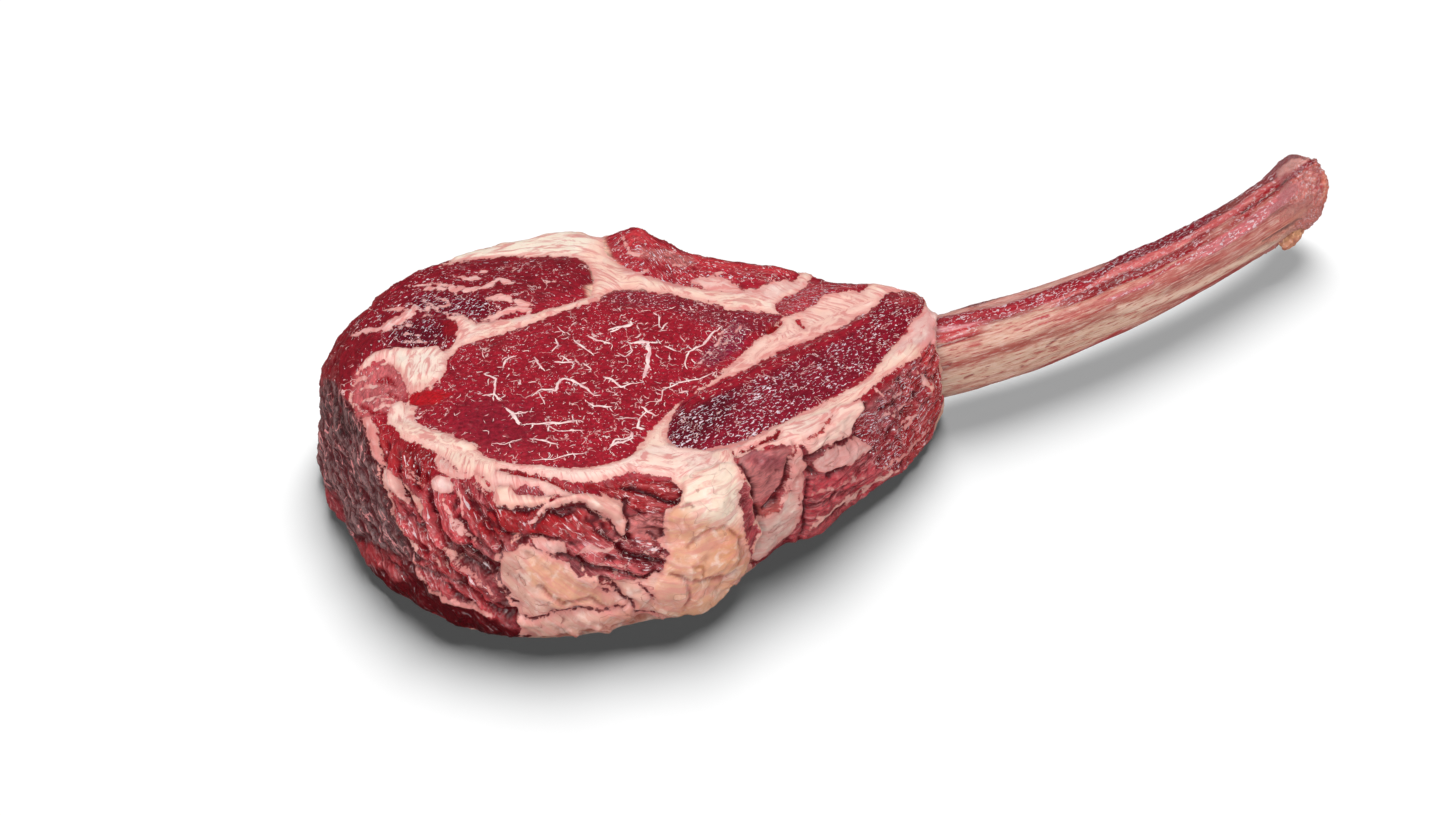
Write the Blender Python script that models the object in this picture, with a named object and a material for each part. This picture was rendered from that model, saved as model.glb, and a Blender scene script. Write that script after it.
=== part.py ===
"""A raw tomahawk steak: a thick bone-in rib steak lying on its lower cut face.

The long rib bone sticks out to +X and curves away to +Y. The steak is lofted from its outline in plan, and
each muscle is the part of that loft inside its own outline, so every muscle runs through the steak from the
upper cut face to the lower one. The fat between and around the muscles is one body with a pocket for each.
Plan outlines are in millimetres, measured from a point near the middle of the whole thing. At the end
everything is moved so that the origin is on the floor under the middle of the bounding box.
"""

import math

import bmesh
import bpy
import numpy as np
from mathutils import Vector, noise

MM = 0.001

# ---- driving dimensions, in millimetres --------------------------------------------------------------
STEAK_HEIGHT = 55.0  # thickness of the cut, near the eye
CROWN_RADIUS = 560.0  # the upper face falls away to both ends on this radius
CROWN_X = -30.0  # where it is highest
FLOOR_ROUND = 5.0  # how far the lower edge is rounded up
SEAM_GAP = 0.3  # clearance between neighbouring bodies
STEAK_STATIONS = 96  # points round the steak's outline
HUB = (-30.0, -5.0)  # the faces' rings close on this point

# The steak's widest outline in plan, anticlockwise from the bone: x, y, and how soft its edge is, from
# 0, a crisp knife-cut corner, to 1, a wide rounded shoulder over a leaning wall.
RIM = [
    (75, 12, 0.10), (75, 27, 0.05), (67, 37, 0.00), (52, 41, 0.00), (38, 39, 0.00), (26, 45, 0.00),
    (9, 46, 0.00), (-9, 49, 0.00), (-22, 57, 0.05), (-33, 64, 0.05), (-44, 61, 0.05), (-57, 66, 0.05),
    (-74, 63, 0.05), (-91, 58, 0.05), (-109, 53, 0.10), (-124, 42, 0.15), (-137, 28, 0.20),
    (-144, 9, 0.25), (-145, -8, 0.35), (-141, -23, 0.45), (-134, -36, 0.50), (-125, -51, 0.60),
    (-113, -66, 0.70), (-100, -76, 0.85), (-83, -84, 1.00), (-63, -87, 1.00), (-42, -84, 1.00),
    (-23, -79, 1.00), (-8, -75, 0.90), (2, -66, 0.50), (10, -56, 0.20), (22, -46, 0.10), (37, -37, 0.10),
    (54, -18, 0.15), (67, -3, 0.20),
]

# Each muscle's outline in plan. Where a muscle reaches the outside, its outline runs past the rim.
EYE_MUSCLE = [
    (-106, -36), (-91, -44), (-79, -51), (-66, -55), (-49, -57), (-33, -53), (-26, -40), (-15, -25),
    (1, -8), (15, 8), (17, 13), (1, 17), (-17, 24), (-34, 26), (-52, 20), (-74, 10), (-94, 2),
    (-97, -10), (-104, -22),
]
CAP_MUSCLE = [
    (-50, 45), (-56, 50), (-81, 51), (-96, 49), (-112, 62), (-150, 40), (-165, -20), (-150, -80),
    (-110, -105), (-80, -105), (-86, -84), (-101, -71), (-112, -60), (-120, -46), (-129, -23),
    (-130, -10), (-121, -2), (-110, 2), (-97, 1), (-92, 8), (-87, 15), (-69, 18), (-48, 26), (-47, 33),
]
CHINE_MUSCLE = [
    (-44, 55), (-40, 75), (-15, 75), (10, 70), (24, 60), (25, 40), (20, 33), (4, 29), (-10, 30),
    (-24, 34), (-35, 40), (-43, 48),
]
WEDGE_MUSCLE = [(18, 18), (17, 25), (26, 32), (36, 52), (52, 52), (47, 33), (36, 26), (25, 19)]
RIB_MUSCLE = [
    (-20, -44), (-17, -29), (-6, -16), (11, -3), (25, 7), (42, 21), (57, 30), (68, 30), (66, 19),
    (56, 6), (48, -9), (35, -21), (21, -32), (4, -44), (-13, -49),
]
END_MUSCLE = [
    (73, 8), (66, 5), (57, -4), (49, -14), (42, -23), (34, -32), (22, -41), (11, -47), (9, -54),
    (16, -75), (50, -60), (95, -15), (95, 6),
]
SIDE_MUSCLE = [
    (-117, -35), (-107, -41), (-93, -50), (-84, -59), (-76, -70), (-69, -84), (-66, -105), (-75, -105),
    (-80.5, -86), (-94, -71), (-106, -58.5), (-115, -46),
]
CURL_MUSCLE = [(-124, -14), (-115, -10), (-109, -15), (-110, -26), (-116, -31), (-125, -25)]
SHOULDER_MUSCLE = [
    (-76, -62), (-60, -61), (-44, -63), (-28, -57), (-19, -59), (-20, -70), (-32, -80), (-36, -105),
    (-60, -105), (-66, -84), (-71, -72),
]
SHOULDER_FLOOR = 27.0  # the shoulder muscle ends this high, on the outer fat
THROUGH = -20.0  # an outline that starts below the floor runs right through the steak
OUTLINE_TOP = 90.0

# Every muscle, with the height its outline starts at
MUSCLES = {
    "eye_muscle": (EYE_MUSCLE, THROUGH),
    "cap_muscle": (CAP_MUSCLE, THROUGH),
    "chine_muscle": (CHINE_MUSCLE, THROUGH),
    "wedge_muscle": (WEDGE_MUSCLE, THROUGH),
    "rib_muscle": (RIB_MUSCLE, THROUGH),
    "end_muscle": (END_MUSCLE, THROUGH),
    "side_muscle": (SIDE_MUSCLE, THROUGH),
    "curl_muscle": (CURL_MUSCLE, THROUGH),
    "shoulder_muscle": (SHOULDER_MUSCLE, SHOULDER_FLOOR),
}
BONE_CROSSES = ("rib_muscle", "end_muscle", "eye_muscle", "wedge_muscle")

# The rib bone: an arc in plan, then its half height and half width along the way
BONE_START = (72.0, 25.5)  # where it leaves the meat
BONE_HEADING = 19.0  # degrees from +X at that point
BONE_RADIUS = 366.0
BONE_BURIED = 52.0  # length inside the meat
BONE_LENGTH = 178.0  # length outside it
BONE_LIFT = 24.5  # height of its middle line
BONE_STATIONS = 34
BONE_SIDES = 24
BONE_SQUARENESS = 2.6  # exponent of its section: 2 is an ellipse, more is boxier
# share of the way from the buried end to the tip, half height, half width
BONE_SECTIONS = [
    (0.00, 13.0, 7.5), (0.08, 16.0, 9.5), (0.30, 17.5, 10.2), (0.45, 16.4, 9.8), (0.62, 15.2, 9.2),
    (0.80, 14.2, 8.6), (0.90, 14.0, 9.0), (0.965, 16.0, 10.8), (0.99, 14.0, 9.6), (1.00, 9.5, 6.5),
]
GROOVE_DEPTH = 1.8  # two grooves run along the bone's upper side
GROOVE_ANGLES = (58.0, 112.0)  # degrees round the section from its outer side
GROOVE_SPREAD = 13.0

# A scrap of fat left hanging on the outer side of the bone, near its tip
TAG_ALONG = 156.0  # from where the bone leaves the meat
TAG_SIZE = (7.0, 3.4, 3.6)  # half length, half thickness, half height
TAG_OUT = 9.4  # from the bone's middle line
TAG_LIFT = 13.5

LEAN = (0.55, 0.06, 0.09)  # linear colours of raw lean, fat and rib bone
FAT = (0.86, 0.62, 0.50)
BONE = (0.74, 0.50, 0.42)


# ---- shared helpers ----------------------------------------------------------------------------------
def clear_scene():
    for old in list(bpy.data.objects):
        bpy.data.objects.remove(old)


def make_collection(name):
    collection = bpy.data.collections.new(name)
    bpy.context.scene.collection.children.link(collection)
    return collection


def make_material(name, colour, roughness):
    material = bpy.data.materials.new(name)
    material.use_nodes = True
    shader = material.node_tree.nodes["Principled BSDF"]
    shader.inputs["Base Color"].default_value = (*colour, 1.0)
    shader.inputs["Roughness"].default_value = roughness
    shader.inputs["Metallic"].default_value = 0.0
    return material


def smoothstep(low, high, value):
    share = np.clip((value - low) / (high - low), 0.0, 1.0)
    return share * share * (3.0 - 2.0 * share)


def closed_curve(stations, count):
    """Evenly spaced points on the closed Catmull-Rom curve through the stations, with every column."""
    knots = np.array(stations, float)
    share = np.linspace(0.0, 1.0, 24, endpoint=False)[:, None]
    pieces = []
    for i in range(len(knots)):
        a, b, c, d = (knots[(i + k) % len(knots)] for k in (-1, 0, 1, 2))
        cubic = 2 * b + (c - a) * share + (2 * a - 5 * b + 4 * c - d) * share**2
        pieces.append((cubic + (3 * b - a - 3 * c + d) * share**3) / 2)
    fine = np.vstack(pieces + [pieces[0][:1]])
    walked = np.concatenate([[0.0], np.cumsum(np.hypot(*np.diff(fine[:, :2], axis=0).T))])
    wanted = np.linspace(0.0, walked[-1], count, endpoint=False)
    return np.column_stack([np.interp(wanted, walked, column) for column in fine.T])


def outward(points):
    """Unit normals of a closed anticlockwise outline."""
    along = np.roll(points, -1, axis=0) - np.roll(points, 1, axis=0)
    normals = np.column_stack([along[:, 1], -along[:, 0]])
    return normals / np.linalg.norm(normals, axis=1)[:, None]


def signed_area(points):
    x, y = points.T
    return 0.5 * np.sum(x * np.roll(y, -1) - y * np.roll(x, -1))


def muscle_outline(stations, grow=0.0):
    """A muscle's smooth outline, grown or shrunk by a distance."""
    count = 6 + 2 * len(stations)
    points = closed_curve(stations, count)
    if signed_area(points) < 0:
        points = points[::-1]
    return points + outward(points) * grow


def depth_inside(outline, x, y):
    """Distance from (x, y) to the outline, positive inside it."""
    a, b = outline, np.roll(outline, -1, axis=0)
    edge, reach = b - a, np.array([x, y]) - a
    share = np.clip((reach * edge).sum(1) / (edge * edge).sum(1), 0.0, 1.0)
    nearest = np.hypot(*(reach - edge * share[:, None]).T).min()
    crosses = (a[:, 1] > y) != (b[:, 1] > y)
    left = a[:, 0] + (y - a[:, 1]) * edge[:, 0] / np.where(edge[:, 1] == 0, 1e-9, edge[:, 1]) > x
    return nearest if np.count_nonzero(crosses & left) % 2 else -nearest


def mesh_object(name, mesh, collection, material=None):
    obj = bpy.data.objects.new(name, mesh)
    collection.objects.link(obj)
    if material:
        mesh.materials.append(material)
    return obj


def loft(name, rings, first_pole, last_pole):
    """A closed mesh over rings of equal length, with a fan to a pole at each end."""
    bm = bmesh.new()
    rows = [[bm.verts.new(Vector(p) * MM) for p in ring] for ring in rings]
    count = len(rows[0])
    for lower, upper in zip(rows, rows[1:]):
        for i in range(count):
            j = (i + 1) % count
            bm.faces.new((lower[i], lower[j], upper[j], upper[i]))
    for row, pole, turn in ((rows[0], first_pole, -1), (rows[-1], last_pole, 1)):
        tip = bm.verts.new(Vector(pole) * MM)
        for i in range(count):
            corner = (row[i], row[(i + 1) % count], tip)
            bm.faces.new(corner[::turn])
    bmesh.ops.triangulate(bm, faces=bm.faces[:])
    bmesh.ops.recalc_face_normals(bm, faces=bm.faces[:])
    mesh = bpy.data.meshes.new(name)
    bm.to_mesh(mesh)
    bm.free()
    return mesh


# ---- the steak as one lofted form --------------------------------------------------------------------
def crown_height(x):
    return STEAK_HEIGHT - (x - CROWN_X) ** 2 / (2.0 * CROWN_RADIUS)


def muscle_relief(x, y, outlines):
    """The upper face swells over each muscle and dips along the seams."""
    swell = -0.6
    for outline in outlines:
        swell = max(swell, -0.6 + 1.8 * float(smoothstep(-1.0, 9.0, depth_inside(outline, x, y))))
    lip = 2.0 * math.exp(-((x + 33.0) ** 2 + (y - 60.0) ** 2) / 120.0)
    return swell + lip


def wall_relief(x, y, z, soft):
    """Crags and folds of the untrimmed outside, out of the wall."""
    spot = Vector((x / 22.0, y / 22.0, z / 13.0))
    fold = noise.fractal(spot, 0.9, 2.1, 3)
    ridge = 1.0 - 2.0 * abs(noise.noise(Vector((x / 15.0 + 4.0, y / 15.0, z / 20.0))))
    return (0.8 + 2.6 * soft) * fold + 1.1 * soft * ridge


def fat_lump_relief(x, y, z):
    """The hard fat on the front bulges, and ends in a step over the recessed right wall."""
    across = float(smoothstep(-75.0, -35.0, x)) * (1.0 - float(smoothstep(1.0, 7.0, x)))
    front = 1.0 - float(smoothstep(-66.0, -52.0, y))
    return 4.5 * across * front * math.sin(math.pi * min(max(z / 52.0, 0.0), 1.0))


def steak_rings(outlines):
    rim = closed_curve(RIM, STEAK_STATIONS)
    plan, soft = rim[:, :2], np.clip(rim[:, 2], 0.0, 1.0)
    normals = outward(plan)
    lean, shoulder = 1.5 + 7.0 * soft, 3.0 + 14.0 * soft
    hub = np.array(HUB)
    rings = []

    def add_wall(inset, height):
        ring = []
        for (x, y), normal, bulge, z, s in zip(plan - normals * inset[:, None], normals, inset, height, soft):
            out = (wall_relief(x, y, z, s) + fat_lump_relief(x, y, z)) * float(smoothstep(0.0, 7.0, z))
            ring.append((x + normal[0] * out, y + normal[1] * out, z))
        rings.append(ring)

    for share in (0.35, 0.75):  # lower face, from the hub out
        edge = hub + (plan - normals * FLOOR_ROUND - hub) * share
        rings.append([(x, y, 0.0) for x, y in edge])
    for angle in (0, 45, 90):  # rounded lower edge
        turn = math.radians(angle)
        inset = FLOOR_ROUND * (1.0 - math.sin(turn)) * np.ones(STEAK_STATIONS)
        add_wall(inset, FLOOR_ROUND * (1.0 - math.cos(turn)) * np.ones(STEAK_STATIONS))
    crown = crown_height(plan[:, 0])
    for share in (0.25, 0.5, 0.75):  # wall
        add_wall(lean * share**1.5, FLOOR_ROUND + (crown - shoulder - FLOOR_ROUND) * share)
    for angle in (0, 30, 60):  # shoulder
        turn = math.radians(angle)
        add_wall(lean + shoulder * (1.0 - math.cos(turn)), crown - shoulder * (1.0 - math.sin(turn)))
    crest = plan - normals * (lean + shoulder)[:, None]
    for share in (1.0, 0.89, 0.77, 0.64, 0.50, 0.34, 0.16):  # upper face, in to the hub
        ring = []
        for x, y in hub + (crest - hub) * share:
            ring.append((x, y, crown_height(x) + muscle_relief(x, y, outlines)))
        rings.append(ring)
    return rings


def make_steak_form(outlines):
    top = crown_height(HUB[0]) + muscle_relief(*HUB, outlines)
    return loft("steak_form", steak_rings(outlines), (*HUB, 0.0), (*HUB, top))


# ---- muscles, and the fat that holds them ------------------------------------------------------------
def make_prism(name, outline, low, high, collection):
    """An upright solid over a plan outline: a filled 2D curve, made a welded mesh."""
    curve = bpy.data.curves.new(name, "CURVE")
    curve.dimensions = "2D"
    curve.fill_mode = "BOTH"
    curve.extrude = (high - low) / 2 * MM
    spline = curve.splines.new("POLY")
    spline.points.add(len(outline) - 1)
    for point, (x, y) in zip(spline.points, outline):
        point.co = (x * MM, y * MM, 0.0, 1.0)
    spline.use_cyclic_u = True
    source = bpy.data.objects.new(name + "_curve", curve)
    bpy.context.scene.collection.objects.link(source)
    source.location.z = (low + high) / 2 * MM
    bpy.context.view_layer.update()
    graph = bpy.context.evaluated_depsgraph_get()
    mesh = bpy.data.meshes.new_from_object(source.evaluated_get(graph))
    bm = bmesh.new()
    bm.from_mesh(mesh)
    bmesh.ops.remove_doubles(bm, verts=bm.verts[:], dist=1e-6)
    bmesh.ops.recalc_face_normals(bm, faces=bm.faces[:])
    bm.to_mesh(mesh)
    bm.free()
    mesh.name = name
    obj = mesh_object(name, mesh, collection)
    obj.matrix_world = source.matrix_world
    bpy.data.objects.remove(source)
    return obj


def centre_on_floor(objects):
    """Hangs every object from one empty, and moves it so that the origin is under the middle of the whole."""
    graph = bpy.context.evaluated_depsgraph_get()
    corners = []
    for obj in objects:
        if not obj.hide_render:
            found = obj.evaluated_get(graph)
            corners += [found.matrix_world @ Vector(corner) for corner in found.bound_box]
    low = Vector(map(min, *corners))
    high = Vector(map(max, *corners))
    anchor = bpy.data.objects.new("steak_origin", None)
    bpy.context.scene.collection.objects.link(anchor)
    for obj in objects:
        obj.parent = anchor
    anchor.location = (-(low.x + high.x) / 2, -(low.y + high.y) / 2, -low.z)


def hide_cutter(obj):
    obj.hide_render = True
    obj.display_type = "WIRE"


def add_boolean(obj, operation, other):
    modifier = obj.modifiers.new(f"{operation.lower()}_{other.name}", "BOOLEAN")
    modifier.operation = operation
    modifier.object = other
    modifier.solver = "EXACT"
    return modifier


def make_muscles(form, bone_cutter, parts, cutters, lean):
    """Each muscle is the steak's form inside its outline. Returns the pockets that the fat needs."""
    pockets = []
    for name, (stations, floor) in MUSCLES.items():
        muscle = mesh_object(name, form.copy(), parts, lean)
        inner = make_prism(name + "_outline", muscle_outline(stations), floor, OUTLINE_TOP, cutters)
        wider = muscle_outline(stations, SEAM_GAP)
        outer = make_prism(name + "_pocket", wider, floor - SEAM_GAP, OUTLINE_TOP, cutters)
        add_boolean(muscle, "INTERSECT", inner)
        if name in BONE_CROSSES:
            add_boolean(muscle, "DIFFERENCE", bone_cutter)
        hide_cutter(inner)
        hide_cutter(outer)
        pockets.append(outer)
    return pockets


def make_fat(form, pockets, bone_cutter, parts, fat):
    body = mesh_object("fat_body", form.copy(), parts, fat)
    for pocket in pockets + [bone_cutter]:
        add_boolean(body, "DIFFERENCE", pocket)
    return body


# ---- rib bone ----------------------------------------------------------------------------------------
def bone_point(length):
    """Middle line of the bone at a length from where it leaves the meat, and its heading."""
    start, turn = math.radians(BONE_HEADING), length / BONE_RADIUS
    heading = start + turn
    x = BONE_START[0] + BONE_RADIUS * (math.sin(heading) - math.sin(start))
    y = BONE_START[1] - BONE_RADIUS * (math.cos(heading) - math.cos(start))
    return x, y, heading


def bone_rings(grow):
    shares = 0.5 - 0.5 * np.cos(np.linspace(0.06 * math.pi, math.pi, BONE_STATIONS))
    shares = (shares - shares[0]) / (shares[-1] - shares[0])
    keys = np.array(BONE_SECTIONS)
    rings = []
    for share in shares:
        x, y, heading = bone_point(-BONE_BURIED + share * (BONE_BURIED + BONE_LENGTH))
        tall = np.interp(share, keys[:, 0], keys[:, 1])
        wide = np.interp(share, keys[:, 0], keys[:, 2])
        ring = []
        for side in range(BONE_SIDES):
            turn = 2.0 * math.pi * side / BONE_SIDES
            c, s = math.cos(turn), math.sin(turn)
            reach = (abs(c) ** BONE_SQUARENESS + abs(s) ** BONE_SQUARENESS) ** (-1.0 / BONE_SQUARENESS)
            groove = 0.0
            for middle in GROOVE_ANGLES:
                groove += math.exp(-(((math.degrees(turn) - middle) / GROOVE_SPREAD) ** 2))
            rough = 0.5 * noise.noise(Vector((x / 12.0, y / 12.0, turn * 2.0)))
            cut = (GROOVE_DEPTH * groove - rough) * float(smoothstep(0.0, 0.2, share))
            out, rise = (wide + grow - cut * abs(c)) * reach * c, (tall + grow - cut * abs(s)) * reach * s
            ring.append(
                (x + out * math.sin(heading), y - out * math.cos(heading), BONE_LIFT + rise)
            )
        rings.append(ring)
    return rings


def make_bone_mesh(name, grow):
    rings = bone_rings(grow)
    poles = []
    for length, push in ((-BONE_BURIED, -1.0), (BONE_LENGTH, 1.0)):
        x, y, _ = bone_point(length + push * (1.5 + grow))
        poles.append((x, y, BONE_LIFT))
    return loft(name, rings, *poles)


def make_fat_tag(bone_cutter, parts, fat):
    """The scrap of fat hugs the bone's outer side, so the bone's socket is cut from it."""
    bpy.ops.mesh.primitive_uv_sphere_add(segments=18, ring_count=10, radius=1.0)
    tag = bpy.context.object
    tag.name = "fat_tag"
    for collection in list(tag.users_collection):
        collection.objects.unlink(tag)
    parts.objects.link(tag)
    tag.data.materials.append(fat)
    x, y, heading = bone_point(TAG_ALONG)
    for vertex in tag.data.vertices:
        along, out, up = vertex.co
        ragged = 1.0 + 0.35 * noise.noise(vertex.co * 1.7 + Vector((3.0, 0.0, 0.0)))
        spike = 4.0 * max(along, 0.0) ** 6
        co = Vector((along * TAG_SIZE[0] * ragged + spike, out * TAG_SIZE[1], up * TAG_SIZE[2] * ragged))
        vertex.co = co * MM
    tag.rotation_euler.z = heading
    out_x, out_y = TAG_OUT * math.sin(heading), -TAG_OUT * math.cos(heading)
    tag.location = Vector((x + out_x, y + out_y, TAG_LIFT)) * MM
    add_boolean(tag, "DIFFERENCE", bone_cutter)
    return tag


def main():
    clear_scene()
    parts, cutters = make_collection("tomahawk_steak"), make_collection("cutters")
    lean = make_material("raw_lean", LEAN, 0.35)
    fat = make_material("beef_fat", FAT, 0.45)
    bone = make_material("rib_bone", BONE, 0.5)

    outlines = [muscle_outline(stations) for stations, _ in MUSCLES.values()]
    form = make_steak_form(outlines)
    bone_cutter = mesh_object("bone_socket", make_bone_mesh("bone_socket", SEAM_GAP), cutters)
    hide_cutter(bone_cutter)
    pockets = make_muscles(form, bone_cutter, parts, cutters, lean)
    make_fat(form, pockets, bone_cutter, parts, fat)
    rib = mesh_object("rib_bone", make_bone_mesh("rib_bone", 0.0), parts, bone)
    rib.data.shade_smooth()
    make_fat_tag(bone_cutter, parts, fat)
    bpy.context.view_layer.update()
    centre_on_floor(list(parts.objects) + list(cutters.objects))


main()
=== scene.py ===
import functools
import math
import time

import bmesh
import bpy
import numpy as np
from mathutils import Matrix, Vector, noise
from mathutils.bvhtree import BVHTree


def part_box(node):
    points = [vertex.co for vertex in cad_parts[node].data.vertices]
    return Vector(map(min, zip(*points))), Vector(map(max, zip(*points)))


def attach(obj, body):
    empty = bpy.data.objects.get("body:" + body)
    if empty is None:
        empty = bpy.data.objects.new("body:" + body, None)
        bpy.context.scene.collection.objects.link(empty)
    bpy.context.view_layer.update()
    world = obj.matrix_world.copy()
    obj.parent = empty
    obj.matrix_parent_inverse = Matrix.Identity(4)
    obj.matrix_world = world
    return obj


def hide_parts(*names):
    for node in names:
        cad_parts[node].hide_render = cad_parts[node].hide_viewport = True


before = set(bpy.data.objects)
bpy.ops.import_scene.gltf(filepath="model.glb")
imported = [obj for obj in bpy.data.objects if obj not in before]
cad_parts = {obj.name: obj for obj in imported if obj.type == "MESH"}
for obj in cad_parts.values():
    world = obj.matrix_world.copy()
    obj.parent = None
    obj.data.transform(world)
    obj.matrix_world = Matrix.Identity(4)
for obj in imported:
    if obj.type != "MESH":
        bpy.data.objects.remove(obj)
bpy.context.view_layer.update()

startedAt = time.time()
mm = 0.001


def report(stage):
    print(f"[{time.time() - startedAt:6.1f} s] {stage}")


# The studio: where the photo's camera stands, and its light
studio = {
    "target": (-0.0399, -0.0193, 0.025),  # what the camera looks at, metres
    "distance": 1.06,
    "elevation": 45.0,  # degrees above the horizon
    "lens": 75.0,
    "sensor": 36.0,
    "picture": (1456, 816),  # pixels; places drawn on the meat are given in these
    "pixelsPerMm": 2.86,
    "floor": "#F6F6F6",
    "world": 0.06,
    "floorSize": 12.0,  # metres
    "floorDrop": 0.0002,
    # each lamp's strength, the way to it and how wide it is in degrees
    "tableLamps": [(2.8, (0.08, 0.56, 1.0), 40)],
    "meatShadowLamps": [(1.1, (0.08, 0.60, 1.0), 32)],  # these pass the bone, so its shadow stays lighter
    "steakLamps": [
        (2.2, (-0.15, 0.0, 1.0), 30),
        (1.5, (-0.45, -1.0, 0.50), 34),
        (1.2, (1.0, -0.35, 0.50), 40),
        (0.5, (0.0, 1.0, 0.35), 60),
    ],
    "glintLamps": [
        (1.0, (-0.55, -0.25, 0.8), 10),
        (2.0, (-0.25, -0.7, 0.62), 10),
        (1.6, (0.8, -0.6, 0.6), 10),
    ],
}


# sRGB hex to the linear colour that the shaders take
def linear(hexColour):
    channels = [int(hexColour[i:i + 2], 16) / 255 for i in (1, 3, 5)]
    return tuple(c / 12.92 if c <= 0.04045 else ((c + 0.055) / 1.055) ** 2.4 for c in channels) + (1.0,)


# Puts data into the scene as an object
def addObject(name, data):
    thing = bpy.data.objects.new(name, data)
    bpy.context.scene.collection.objects.link(thing)
    return thing


# A new material, its shader, and what adds a node to it
def newMaterial(name):
    material = bpy.data.materials.new(name)
    material.use_nodes = True
    tree = material.node_tree
    return material, tree.nodes["Principled BSDF"], functools.partial(addNode, tree)


# The way from the camera's target back to the camera, and the way that is up in its picture
def cameraAxes():
    tilt = math.radians(studio["elevation"])
    return Vector((0, -math.cos(tilt), math.sin(tilt))), Vector((0, math.sin(tilt), math.cos(tilt)))


# The lamps over the table light the floor alone, where they throw the shadow, and the others light the steak.
# Small lamps make its glints, and the wide ones leave them alone.
def makeStudio():
    lens = bpy.data.cameras.new("photoCamera")
    lens.lens, lens.sensor_width = studio["lens"], studio["sensor"]
    camera = addObject("photoCamera", lens)
    camera.location = Vector(studio["target"]) + cameraAxes()[0] * studio["distance"]
    camera.rotation_euler = (math.radians(90 - studio["elevation"]), 0, 0)
    bpy.context.scene.camera = camera

    world = bpy.data.worlds.new("softRoom")
    world.use_nodes = True
    fill(world.node_tree.nodes["Background"], {"Color": (1, 1, 1, 1), "Strength": studio["world"]})
    bpy.context.scene.world = world
    bpy.context.scene.view_settings.view_transform = "Standard"

    groups = ("tableLamps", "meatShadowLamps", "steakLamps", "shadowOfMeat")
    lit = {name: bpy.data.collections.new(name) for name in groups}
    for name in ("tableLamps", "meatShadowLamps", "steakLamps", "glintLamps"):
        glinting = name == "glintLamps"
        for strength, way, softness in studio[name]:
            lamp = bpy.data.lights.new(name, "SUN")
            lamp.energy, lamp.angle = strength, math.radians(softness)
            sun = addObject(name, lamp)
            sun.rotation_euler = Vector(way).to_track_quat("Z", "Y").to_euler()
            sun.visible_glossy = glinting
            sun.visible_diffuse = not glinting
            sun.light_linking.receiver_collection = lit["steakLamps" if glinting else name]
            if name == "meatShadowLamps":
                sun.light_linking.blocker_collection = lit["shadowOfMeat"]

    bm = bmesh.new()
    bmesh.ops.create_grid(bm, x_segments=1, y_segments=1, size=studio["floorSize"] / 2)
    bmesh.ops.translate(bm, verts=bm.verts, vec=(0, 0, -studio["floorDrop"]))
    mesh = bpy.data.meshes.new("floor")
    bm.to_mesh(mesh)
    bm.free()
    paper, shader, _ = newMaterial("matte_white_paper")  # even and pale, so that only the shadow shows on it
    fill(shader, {"Base Color": linear(studio["floor"]), "Roughness": 0.9, "Specular IOR Level": 0.0})
    mesh.materials.append(paper)
    floor = addObject("floor", mesh)
    floor.visible_glossy = False  # the wet red sides would mirror it and turn grey
    lit["tableLamps"].objects.link(floor)
    lit["meatShadowLamps"].objects.link(floor)
    return lit["steakLamps"], lit["shadowOfMeat"]


# How many pixels wide a thing is in the picture that is as wide as far away
def pictureZoom():
    return studio["lens"] / studio["sensor"] * studio["picture"][0]


# Where points given in mm fall on the photo, in its pixels
def inPicture(points):
    back, up = (np.array(axis) for axis in cameraAxes())
    reach = points * mm - (np.array(studio["target"]) + back * studio["distance"])
    depth = -reach @ back
    across = studio["picture"][0] / 2 + pictureZoom() * reach[:, 0] / depth
    down = studio["picture"][1] / 2 - pictureZoom() * (reach @ up) / depth
    return np.column_stack([across, down])


# The camera's ray through a pixel: its start in mm and its way
def rayThrough(spot):
    back, up = cameraAxes()
    start = (Vector(studio["target"]) + back * studio["distance"]) / mm
    across = (spot[0] - studio["picture"][0] / 2) / pictureZoom()
    above = (studio["picture"][1] / 2 - spot[1]) / pictureZoom()
    return start, -back + Vector((across, 0, 0)) + up * above


# Distance in mm, as the camera sees it, from each spot to a broken line of pixels
def strokeDistance(spots, line):
    nearest = np.full(len(spots), 1e9)
    for a, b in zip(line, line[1:]):
        a, b = np.array(a, float), np.array(b, float)
        edge = b - a
        share = np.clip((spots - a) @ edge / max(edge @ edge, 1e-9), 0, 1)
        nearest = np.minimum(nearest, np.hypot(*(spots - a - share[:, None] * edge).T))
    return nearest / studio["pixelsPerMm"]


# The same to an outline, positive inside it
def depthInside(spots, outline):
    near = strokeDistance(spots, list(outline) + [outline[0]])
    crossings = np.zeros(len(spots), int)
    for (ax, ay), (bx, by) in zip(outline, list(outline[1:]) + [outline[0]]):
        spans = (ay > spots[:, 1]) != (by > spots[:, 1])
        height = by - ay if by != ay else 1e-9
        crossings += spans & (spots[:, 0] < ax + (spots[:, 1] - ay) * (bx - ax) / height)
    return np.where(crossings % 2 == 1, near, -near)


def smooth(low, high, value):
    share = np.clip((value - low) / (high - low), 0, 1)
    return share * share * (3 - 2 * share)


def blend(a, b, share):
    return a + (b - a) * share


# Fractal noise about 0 on each point; size is its largest lump in mm
def cloud(points, size, octaves=3, seed=0.0):
    return np.array([noise.fractal(Vector(p), 1.0, 2.0, octaves) for p in points / size + seed])


# Sharp crests, 1 on them and falling to 0 between them
def crests(points, size, octaves=3, seed=0.0):
    return np.clip(1 - 2.2 * np.abs(cloud(points, size, octaves, seed)), 0, 1)


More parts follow.
